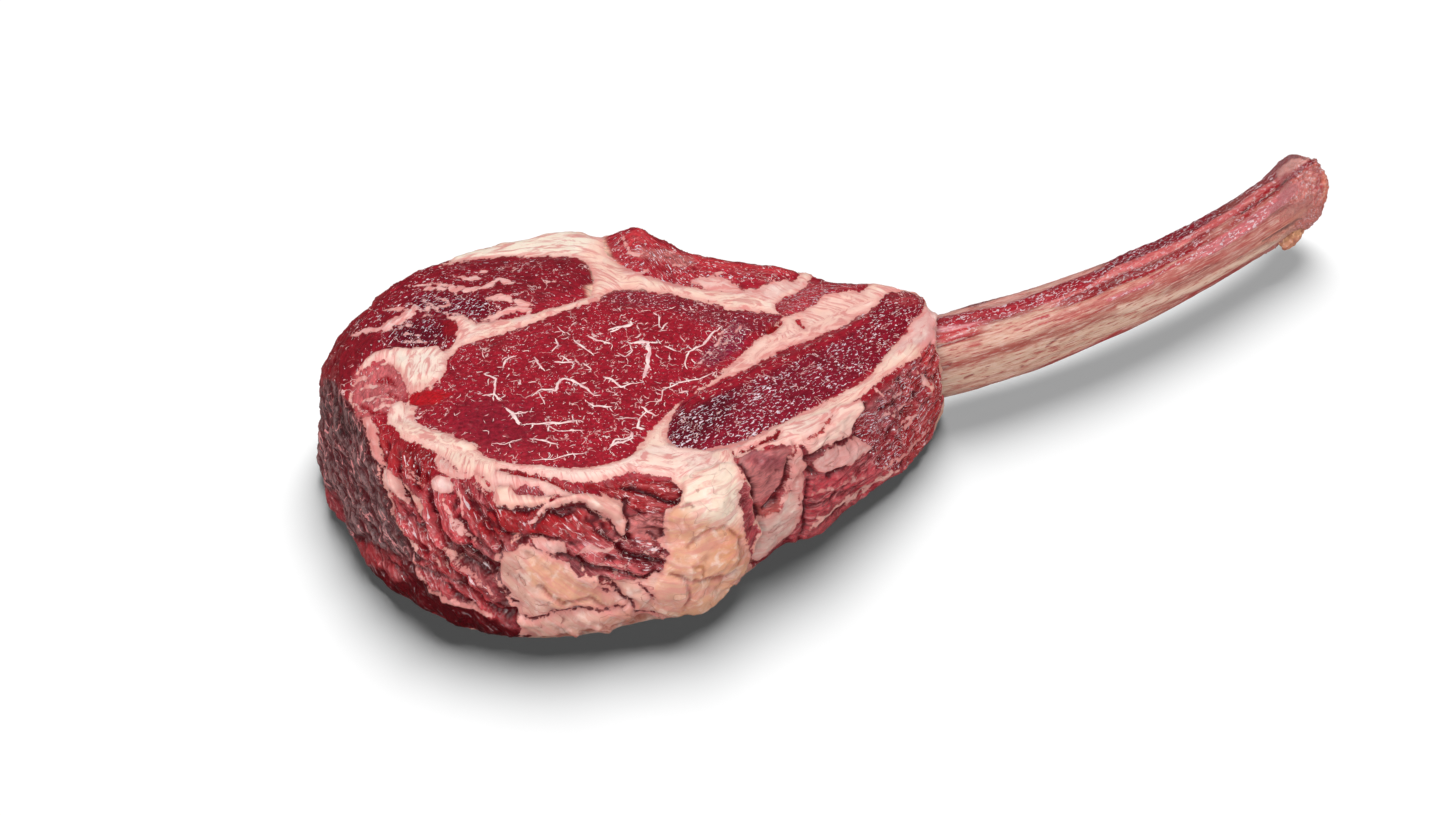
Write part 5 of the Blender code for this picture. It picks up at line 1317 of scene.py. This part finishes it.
# Small branching paths over the eye muscle, where the photo shows fine marbling
def scatterTwigs(tree, dice):
    low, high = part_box("eye_muscle")
    eyeTree, fatTree = nodeTree(["eye_muscle"]), nodeTree(["fat_body"])
    highest = 100  # mm, well above the steak
    border = fatVeins["twigBorder"]
    twigs = []
    while len(twigs) < fatVeins["twigs"]:
        x, y = dice.uniform(low.x, high.x) / mm, dice.uniform(low.y, high.y) / mm
        heading = dice.uniform(0, 2 * math.pi)
        path = []
        for _ in range(int(dice.integers(*fatVeins["twigSteps"]))):
            place = tree.ray_cast(Vector((x, y, highest)), Vector((0, 0, -1)))[0]
            onEye = place is not None and eyeTree.find_nearest(place)[3] <= border
            if not onEye or fatTree.find_nearest(place)[3] < border:
                path = []
                break
            path.append(place)
            heading += dice.uniform(-1.0, 1.0)
            stride = dice.uniform(*fatVeins["twigStride"])
            x, y = x + math.cos(heading) * stride, y + math.sin(heading) * stride
        if path:
            twigs.append((dice.uniform(*fatVeins["twigWeights"]), path))
    return twigs


# Short side branches, which join the drawn veins into a web
def branchesOf(path, dice):
    found = []
    for a, b in zip(path, path[1:]):
        along = b - a
        for _ in range(int(along.length / fatVeins["branching"] + dice.uniform(0, 1))):
            place = a.lerp(b, dice.uniform(0, 1))
            heading = math.atan2(along.y, along.x) + dice.choice((-1, 1)) * dice.uniform(0.5, 1.4)
            branch = [place]
            for _ in range(2):
                heading += dice.uniform(-0.6, 0.6)
                stride = dice.uniform(*fatVeins["branchStride"])
                place = place + Vector((math.cos(heading), math.sin(heading), 0)) * stride
                branch.append(place)
            found.append((dice.uniform(*fatVeins["branchWeights"]), branch))
    return found


def makeFatVeins(skin, material):
    faces = [tuple(face.vertices) for face in skin.mesh.polygons]
    tree = BVHTree.FromPolygons([tuple(p) for p in skin.points], faces)
    dice = np.random.default_rng(fatVeins["seed"])
    drawn = [(weight, [tree.ray_cast(*rayThrough(spot))[0] for spot in path]) for weight, path in veinPaths]
    drawn += [branch for _, path in drawn for branch in branchesOf(path, dice)]
    drawn += scatterTwigs(tree, dice)
    data = bpy.data.curves.new("veinPaths", "CURVE")
    data.dimensions = "3D"
    for weight, path in drawn:
        places = [a.lerp(b, k / 4) for a, b in zip(path, path[1:]) for k in range(4)] + [path[-1]]
        spline = data.splines.new("POLY")
        spline.points.add(len(places) - 1)
        for point, place in zip(spline.points, places):
            local = place / fatVeins["drift"]
            drift = Vector((noise.noise(local), noise.noise(local + Vector((9, 0, 0))), 0))
            near, normal, _, _ = tree.find_nearest(place + drift * fatVeins["wander"])
            sink = fatVeins["proud"] - fatVeins["flatness"] * fatVeins["thick"] * weight
            point.co = (*((near + normal * sink) * mm), 1.0)
            point.radius = fatVeins["thick"] * weight * mm
    holder = addObject("veinPaths", data)
    modifier = holder.modifiers.new("ribbons", "NODES")
    modifier.node_group, sizes = buildRibbonTree()
    sizes["Material"] = material
    for item in modifier.node_group.interface.items_tree:
        if item.name in sizes:
            modifier[item.identifier] = sizes[item.name]
    mesh = baked(holder)
    mesh.name = "fatVeins"
    piece = addObject("fatVeins", mesh)
    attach(piece, "root")
    report(f"veins made: {len(mesh.polygons)} faces")
    return piece


# The rib bone, scraped by hand: dried strips of meat along its upper edge, a pale side and a rough knob
ribBone = {
    "voxel": 0.7,  # mm
    "stretch": 7.0,
    "side": "#CBA48E",
    "sidePink": "#BE7468",
    "sideBrown": "#A2584A",
    "cream": "#DCC3A8",
    "top": "#8A3A36",
    "under": "#A8423F",
    "knob": "#BE6258",
    "knobFrom": 0.9,  # share of the way to the tip
    "slices": 24,  # across the bone, to find its middle line
    "flatness": 0.62,  # how tall it is for its width
    "topAngles": (60, 90),  # degrees round the bone from its near side, where its upper edge begins
    "underAngles": (-50, -75),
    "ripples": 0.4,  # mm
    "knobRough": 0.9,  # mm
    "wobble": 1.6,  # pixels by which the drawn marks wander
    "stripe": 60,  # pixels; a mark that is longer fades at its ends
    "rootEnd": 950,  # pixels across; one that starts before this comes out of the meat at full strength
    "paleHair": "#EAD6C8",
    "darkHair": "#B03C3C",
    "nick": "#8C2A30",
    "glint": "#DCCCD2",
    "damp": (0.88, 0.75, 0.76),  # what the damp leaves of the colour
    # how large each pattern is, mm
    "sizes": {"fibres": 2.2, "hairs": 0.7, "nicks": 1.1, "bundles": 0.9, "glints": 0.75},
    "relief": 0.0007,  # metres
}

# Marks along the bone, drawn over the photo from the meat to the tip: each one's colour, its half width and
# soft edge in mm, how much of the dried meat's finish it has, how far it stands out in mm, and its line in
# pixels
boneMarks = [
    ("#D9AE98", 3, 2.5, 0, 0, [(935, 352), (976, 347), (1018, 330), (1060, 319), (1116, 299), (1140, 286),
         (1148, 282), (1176, 270)]),
    ("#D3B69C", 3.2, 2.5, 0, 0, [(948, 386), (990, 370), (1032, 355), (1074, 341), (1130, 316), (1141, 301),
         (1176, 287)]),
    ("#AE5E50", 1.1, 1.8, 0, 0, [(935, 370), (955, 366), (976, 359), (1004, 348), (1032, 340), (1060, 324),
         (1088, 314), (1139, 296), (1134, 296), (1176, 275), (1218, 258)]),
    ("#C47A6C", 1.2, 1.6, 0, 0, [(966, 349), (979, 345)]),
    ("#D2A08A", 0.6, 0.8, 0, 0, [(937, 365), (952, 359)]),
    ("#B98472", 0.5, 0.8, 0, 0, [(945, 392), (983, 380), (1018, 366)]),
    ("#C98A72", 0.5, 0.6, 0, 0, [(999, 356), (1018, 351), (1036, 345)]),
    ("#A86456", 0.4, 0.7, 0, 0, [(1060, 342), (1088, 324), (1116, 314)]),
    ("#C8786C", 2.2, 3, 0, 0, [(1040, 326), (1080, 312), (1120, 294), (1176, 273), (1218, 255), (1260, 231),
         (1302, 206)]),
    ("#E2CBB2", 0.9, 1, 0, 0.3, [(1110, 314), (1130, 309), (1162, 301), (1183, 292), (1218, 275), (1246, 259),
         (1274, 241), (1295, 226)]),
    ("#E0C4AC", 1, 1.2, 0, 0, [(1120, 307), (1148, 301), (1165, 299)]),
    ("#B85A54", 0.35, 0.6, 0, 0, [(1134, 303), (1169, 283), (1204, 266)]),
    ("#D88E78", 1.2, 1.6, 0, 0, [(1246, 249), (1274, 235), (1295, 219), (1315, 200)]),
    ("#B03034", 0.9, 1, 0, 0, [(941, 407), (976, 394), (1018, 379), (1046, 366), (1088, 349), (1139, 324)]),
    ("#A83C38", 0.8, 1, 0, 0, [(1173, 306), (1218, 282), (1236, 270), (1260, 258)]),
    ("#9A4A40", 0.35, 0.4, 0, -0.2, [(965, 379), (974, 375)]),
    ("#8E3A38", 0.3, 0.4, 0, -0.2, [(1046, 347), (1058, 338)]),
    ("#8E3A38", 0.5, 0.6, 0, -0.2, [(941, 370), (950, 364)]),
    ("#8E3A38", 0.25, 0.3, 0, -0.2, [(1021, 367), (1023, 366)]),
    ("#A85040", 0.35, 0.4, 0, -0.2, [(1060, 337), (1073, 331)]),
    ("#7E2428", 0.12, 0.5, 0, -0.3, [(1179, 278), (1204, 269), (1221, 262)]),
    ("#45161A", 0.2, 0.5, 0, -0.5, [(1262, 241), (1281, 230), (1301, 219)]),
    ("#5A1A1E", 0.3, 0.4, 0, -0.2, [(1238, 259), (1242, 256)]),
    ("#8E2228", 0.15, 0.5, 0, -0.4, [(1274, 216), (1293, 203)]),
    ("#A84A44", 0.12, 0.5, 0, -0.3, [(1298, 210), (1315, 196)]),
    ("#E0A99C", 1.6, 0.8, 0, 0, [(926, 316), (976, 311), (1018, 297), (1074, 279), (1116, 259), (1136, 250)]),
    ("#9A5A50", 1.2, 0.8, 0, 0, [(1090, 270), (1110, 262), (1120, 256), (1162, 237), (1190, 220), (1232, 196),
         (1260, 178)]),
    ("#A01A2A", 2.3, 0.7, 0.85, 0.3, [(928, 326), (962, 320), (1004, 311), (1046, 297), (1088, 281),
         (1116, 267), (1139, 255)]),
    ("#8E1A28", 2.2, 0.7, 1, 0.3, [(1090, 280), (1120, 262), (1148, 248), (1176, 237), (1204, 221),
         (1232, 206)]),
    ("#963A3C", 2.4, 1, 1, 0.4, [(1227, 209), (1253, 191), (1274, 173), (1293, 158), (1307, 155)]),
    ("#DB8C92", 0.9, 0.8, 0.3, 0.3, [(928, 331), (955, 329), (990, 323)]),
    ("#BE1826", 1.6, 0.7, 0.5, 0, [(928, 338), (948, 337), (969, 331), (993, 325)]),
    ("#7E0A14", 0.6, 0.4, 0.1, -0.6, [(928, 349), (948, 344), (976, 334), (993, 328)]),
    ("#D87A80", 0.6, 0.6, 0.5, 0.3, [(952, 337), (966, 332)]),
    ("#CE6464", 1.2, 0.6, 0.5, 0.8, [(1036, 307), (1060, 302), (1088, 291), (1116, 274), (1140, 265),
         (1148, 259), (1183, 243)]),
    ("#CE6464", 1.15, 0.6, 0.5, 0.8, [(1090, 288), (1120, 271), (1148, 259), (1183, 244), (1204, 231),
         (1232, 214), (1253, 200), (1274, 185), (1288, 172)]),
    ("#D9948A", 1.5, 1, 0.7, 0.5, [(1281, 175), (1293, 164), (1307, 163)]),
    ("#B42A30", 0.5, 0.4, 0.5, 0, [(1035, 319), (1049, 316)]),
    ("#C4484A", 0.3, 0.4, 0.3, 0, [(1039, 324), (1049, 321)]),
    ("#980F1E", 1.3, 0.6, 0.6, -0.8, [(1052, 310), (1074, 300), (1095, 292), (1116, 281), (1139, 272)]),
    ("#96101E", 1.2, 0.6, 0.6, -0.3, [(1088, 293), (1116, 282), (1139, 273)]),
    ("#C46468", 2, 1, 0.9, 0.5, [(1180, 261), (1211, 247), (1239, 230), (1267, 210), (1295, 189),
         (1309, 182)]),
    ("#980F1E", 1.7, 0.6, 0.6, -0.7, [(1100, 290), (1120, 279), (1141, 273), (1162, 263), (1183, 252),
         (1204, 238), (1225, 226)]),
    ("#98121E", 1.6, 0.6, 0.55, -0.9, [(1218, 230), (1246, 212), (1260, 200), (1274, 191), (1288, 177),
         (1304, 170)]),
    ("#4A0A12", 0.4, 0.5, 0.3, -0.5, [(1243, 213), (1260, 202), (1276, 190), (1288, 178)]),
    ("#B03038", 0.6, 0.5, 0.8, -0.3, [(1150, 277), (1172, 267), (1194, 256)]),
    ("#C86066", 0.8, 0.5, 0.7, 0.4, [(1108, 299), (1130, 291), (1152, 283)]),
    ("#8A1622", 1, 0.6, 0.9, -0.7, [(1292, 176), (1302, 168), (1312, 162)]),
    ("#A8323A", 0.35, 0.5, 0.4, -0.6, [(1307, 169), (1318, 170), (1323, 176), (1322, 185), (1314, 191)]),
    ("#B84A4C", 0.3, 0.5, 0.4, -0.5, [(1314, 174), (1319, 176), (1318, 183), (1311, 186)]),
    ("#DB8068", 1, 1.5, 0, 0, [(1325, 162), (1326, 182), (1325, 199)]),
    ("#B04A48", 0.3, 0.5, 0, -0.5, [(1323, 186), (1316, 198), (1307, 207)]),
]


def makeRibBoneFinish():
    # smooth and slightly damp, with fibres left along it
    material, shader, add = newMaterial("scraped_rib_bone")
    grain = add("Attribute", output="Vector", attribute_name="grain")
    paint = add("Attribute", output="Color", attribute_name="paint")
    meat = add("Attribute", output="Fac", attribute_name="meat")
    pitch = {name: 1 / size for name, size in ribBone["sizes"].items()}
    fibres = add("TexNoise", {"Vector": grain, "Scale": pitch["fibres"], "Detail": 5.0, "Roughness": 0.6,
                              "Distortion": 0.4})
    hairs = add("TexNoise", {"Vector": grain, "Scale": pitch["hairs"], "Detail": 3.0, "Roughness": 0.65})
    stains = (
        (fibres, 0.52, 0.70, 0.5, "sideBrown"),
        (fibres, 0.47, 0.32, 0.5, "cream"),
        (hairs, 0.48, 0.38, 0.45, "paleHair"),
        (hairs, 0.53, 0.66, 0.8, "darkHair"),
    )
    colour = paint
    for pattern, low, high, most, key in stains:
        share = add("MapRange", {"Value": pattern, "From Min": low, "From Max": high, "To Max": most},
                    **smoothly)
        colour = add("Mix", {0: share, 6: colour, 7: linear(ribBone[key])}, **rgba)
    colour = add("VectorMath", {0: colour, 1: ribBone["damp"]}, **times)
    nicks = add("TexNoise", {"Vector": grain, "Scale": pitch["nicks"], "Detail": 2.0})
    nicks = add("MapRange", {"Value": nicks, "From Min": 0.70, "From Max": 0.73}, **smoothly)
    colour = add("Mix", {0: nicks, 6: colour, 7: linear(ribBone["nick"])}, **rgba)
    # on the dried meat: dark bundles with painted glints
    bundles = add("TexNoise", {"Vector": grain, "Scale": pitch["bundles"], "Detail": 3.0, "Roughness": 0.6})
    shade = add("MapRange", {"Value": bundles, "From Min": 0.3, "From Max": 0.7, "To Min": 0.6,
                             "To Max": 1.25})
    lean = add("VectorMath", {0: paint, "Scale": shade}, operation="SCALE")
    short = add("VectorMath", {0: grain, 1: (3.5, 1.0, 1.0)}, **times)
    glints = add("TexNoise", {"Vector": short, "Scale": pitch["glints"], "Detail": 2.0, "Distortion": 1.0})
    glints = add("MapRange", {"Value": glints, "From Min": 0.57, "From Max": 0.61, "To Max": 0.8}, **smoothly)
    lean = add("Mix", {0: glints, 6: lean, 7: linear(ribBone["glint"])}, **rgba)
    colour = add("Mix", {0: meat, 6: colour, 7: lean}, **rgba)
    rough = add("MapRange", {"Value": meat, "To Min": 0.5, "To Max": 0.34})
    bumps = add("Mix", {0: meat, 2: fibres, 3: bundles}, data_type="FLOAT")
    bump = add("Bump", {"Height": bumps, "Strength": 0.7, "Distance": ribBone["relief"]})
    fill(shader, {"Base Color": colour, "Roughness": rough, "Normal": bump, "Specular IOR Level": 0.4,
                  "Subsurface Weight": 0.1, "Subsurface Radius": (1.0, 0.5, 0.4), "Subsurface Scale": 0.0015})
    return material


def makeRibBone(material):
    points, faces = remeshed(["rib_bone"], ribBone["voxel"])
    skin = Skin("ribBone", points, faces)
    skin.points = skin.spread(skin.points, 4)
    skin.refresh()
    low, high = (np.array(corner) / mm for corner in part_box("rib_bone"))
    # the bone's middle line, from the mean of each slice along it
    slices = np.linspace(low[0] + 4, high[0] - 6, ribBone["slices"])
    middles = np.array([skin.points[np.abs(skin.points[:, 0] - x) < 4].mean(axis=0) for x in slices])
    bend = np.polyfit(slices, middles[:, 1], 3)
    lift = np.polyfit(slices, middles[:, 2], 2)
    x = skin.points[:, 0]
    beside = skin.points[:, 1] - np.polyval(bend, x)
    slope = np.polyval(np.polyder(bend), x)
    outward = -beside / np.sqrt(1 + slope ** 2)
    upward = skin.points[:, 2] - np.polyval(lift, x)
    angle = np.degrees(np.arctan2(upward * ribBone["flatness"], outward))
    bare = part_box("end_muscle")[1].x / mm  # where it leaves the meat
    share = np.clip((x - bare) / (high[0] - bare), 0, 1)
    straight = np.column_stack([x / ribBone["stretch"], beside, skin.points[:, 2]])
    patchy = cloud(straight, 5, 3, 4.4)
    knob = smooth(ribBone["knobFrom"] - 0.04, ribBone["knobFrom"] + 0.02, share + 0.1 * patchy)
    colour = np.tile(np.array(linear(ribBone["side"])), (len(x), 1))
    amounts = {
        "sidePink": 0.85 * smooth(0.25, 0.8, share + 0.3 * patchy),
        "sideBrown": 0.7 * smooth(0.1, 0.4, patchy),
        "top": smooth(*ribBone["topAngles"], angle + 20 * patchy),
        "under": smooth(*ribBone["underAngles"], angle),
        "knob": 0.8 * knob,
    }
    for key, amount in amounts.items():
        colour = blend(colour, np.array(linear(ribBone[key])), np.clip(amount, 0, 1)[:, None])
    meat = 0.8 * knob + 0.6 * amounts["top"]
    rough = ribBone["knobRough"] * crests(skin.points, 3.0, 3, 8.2) - 0.4
    relief = ribBone["ripples"] * cloud(straight, 3.5, 3, 1.7) + knob * rough
    wander = [cloud(straight, 3, 3, seed) * ribBone["wobble"] for seed in (2.5, 6.5)]
    spots = inPicture(skin.points) + np.column_stack(wander)
    seen = smooth(-0.05, 0.15, skin.facing())
    for paint, wide, soft, meaty, rise, line in boneMarks:
        amount = smooth(wide + soft / 2, wide - soft / 2, strokeDistance(spots, line)) * seen
        first, last = min(line)[0], max(line)[0]
        if last - first > ribBone["stripe"]:
            amount *= smooth(last + 4, last - 26, spots[:, 0])
            if first >= ribBone["rootEnd"]:
                amount *= smooth(first - 4, first + 26, spots[:, 0])
        colour = blend(colour, np.array(linear(paint)), amount[:, None])
        meat = blend(meat, meaty, amount)
        relief += rise * amount
    skin.push(relief + 0.35 * meat * cloud(skin.points, 2.0, 2, 5.0))
    skin.store("grain", straight * np.column_stack([1 + 3 * knob, np.ones(len(x)), np.ones(len(x))]))
    skin.store("paint", colour)
    skin.store("meat", np.clip(meat, 0, 1))
    report(f"bone made: {len(points)} points")
    return skin.finish(material, ["rib_bone"])


# The scrap of fat that hangs from the bone near its tip
fatTag = {
    "voxel": 0.3,  # mm
    "shift": (-0.4, 0.6, 1.4),  # mm from where the solid hangs
    "ridges": 0.8,  # mm
    "thinning": 1.2,  # mm that come off between them
    "colour": "#DB9C74",
    "edge": "#B06A54",
    "patches": 3,  # mm
    "relief": 0.0006,  # metres
}


def makeTagFat():
    # translucent and amber at its thin edge
    material, shader, add = newMaterial("dried_beef_fat")
    place = add("TexCoord", output="Object")
    patches = add("TexNoise", {"Vector": place, "Scale": 1 / (fatTag["patches"] * mm), "Detail": 4.0})
    share = add("MapRange", {"Value": patches, "From Min": 0.35, "From Max": 0.65})
    colour = add("Mix", {0: share, 6: linear(fatTag["edge"]), 7: linear(fatTag["colour"])}, **rgba)
    bump = add("Bump", {"Height": patches, "Strength": 0.6, "Distance": fatTag["relief"]})
    fill(shader, {"Base Color": colour, "Roughness": 0.4, "Normal": bump})
    return material


def makeFatTag(material):
    points, faces = remeshed(["fat_tag"], fatTag["voxel"])
    skin = Skin("fatTag", points, faces)
    skin.points = skin.spread(skin.points, 2)
    skin.refresh()
    skin.points += np.array(fatTag["shift"])
    skin.push(fatTag["ridges"] * crests(skin.points, 4.0, 2, 2.2) - fatTag["thinning"])
    return skin.finish(material, ["fat_tag"])


steakLit, shadowOfMeat = makeStudio()
meatSkin, meat = makeSteakMeat(makeRawBeef())
veins = makeFatVeins(meatSkin, makeVeinFat())
bone = makeRibBone(makeRibBoneFinish())
tag = makeFatTag(makeTagFat())
for piece in (meat, veins, bone, tag):
    steakLit.objects.link(piece)
    piece.visible_diffuse = False  # its own lamps are strong, and would throw a red glow on the floor
shadowOfMeat.objects.link(meat)

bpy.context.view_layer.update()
report("done")
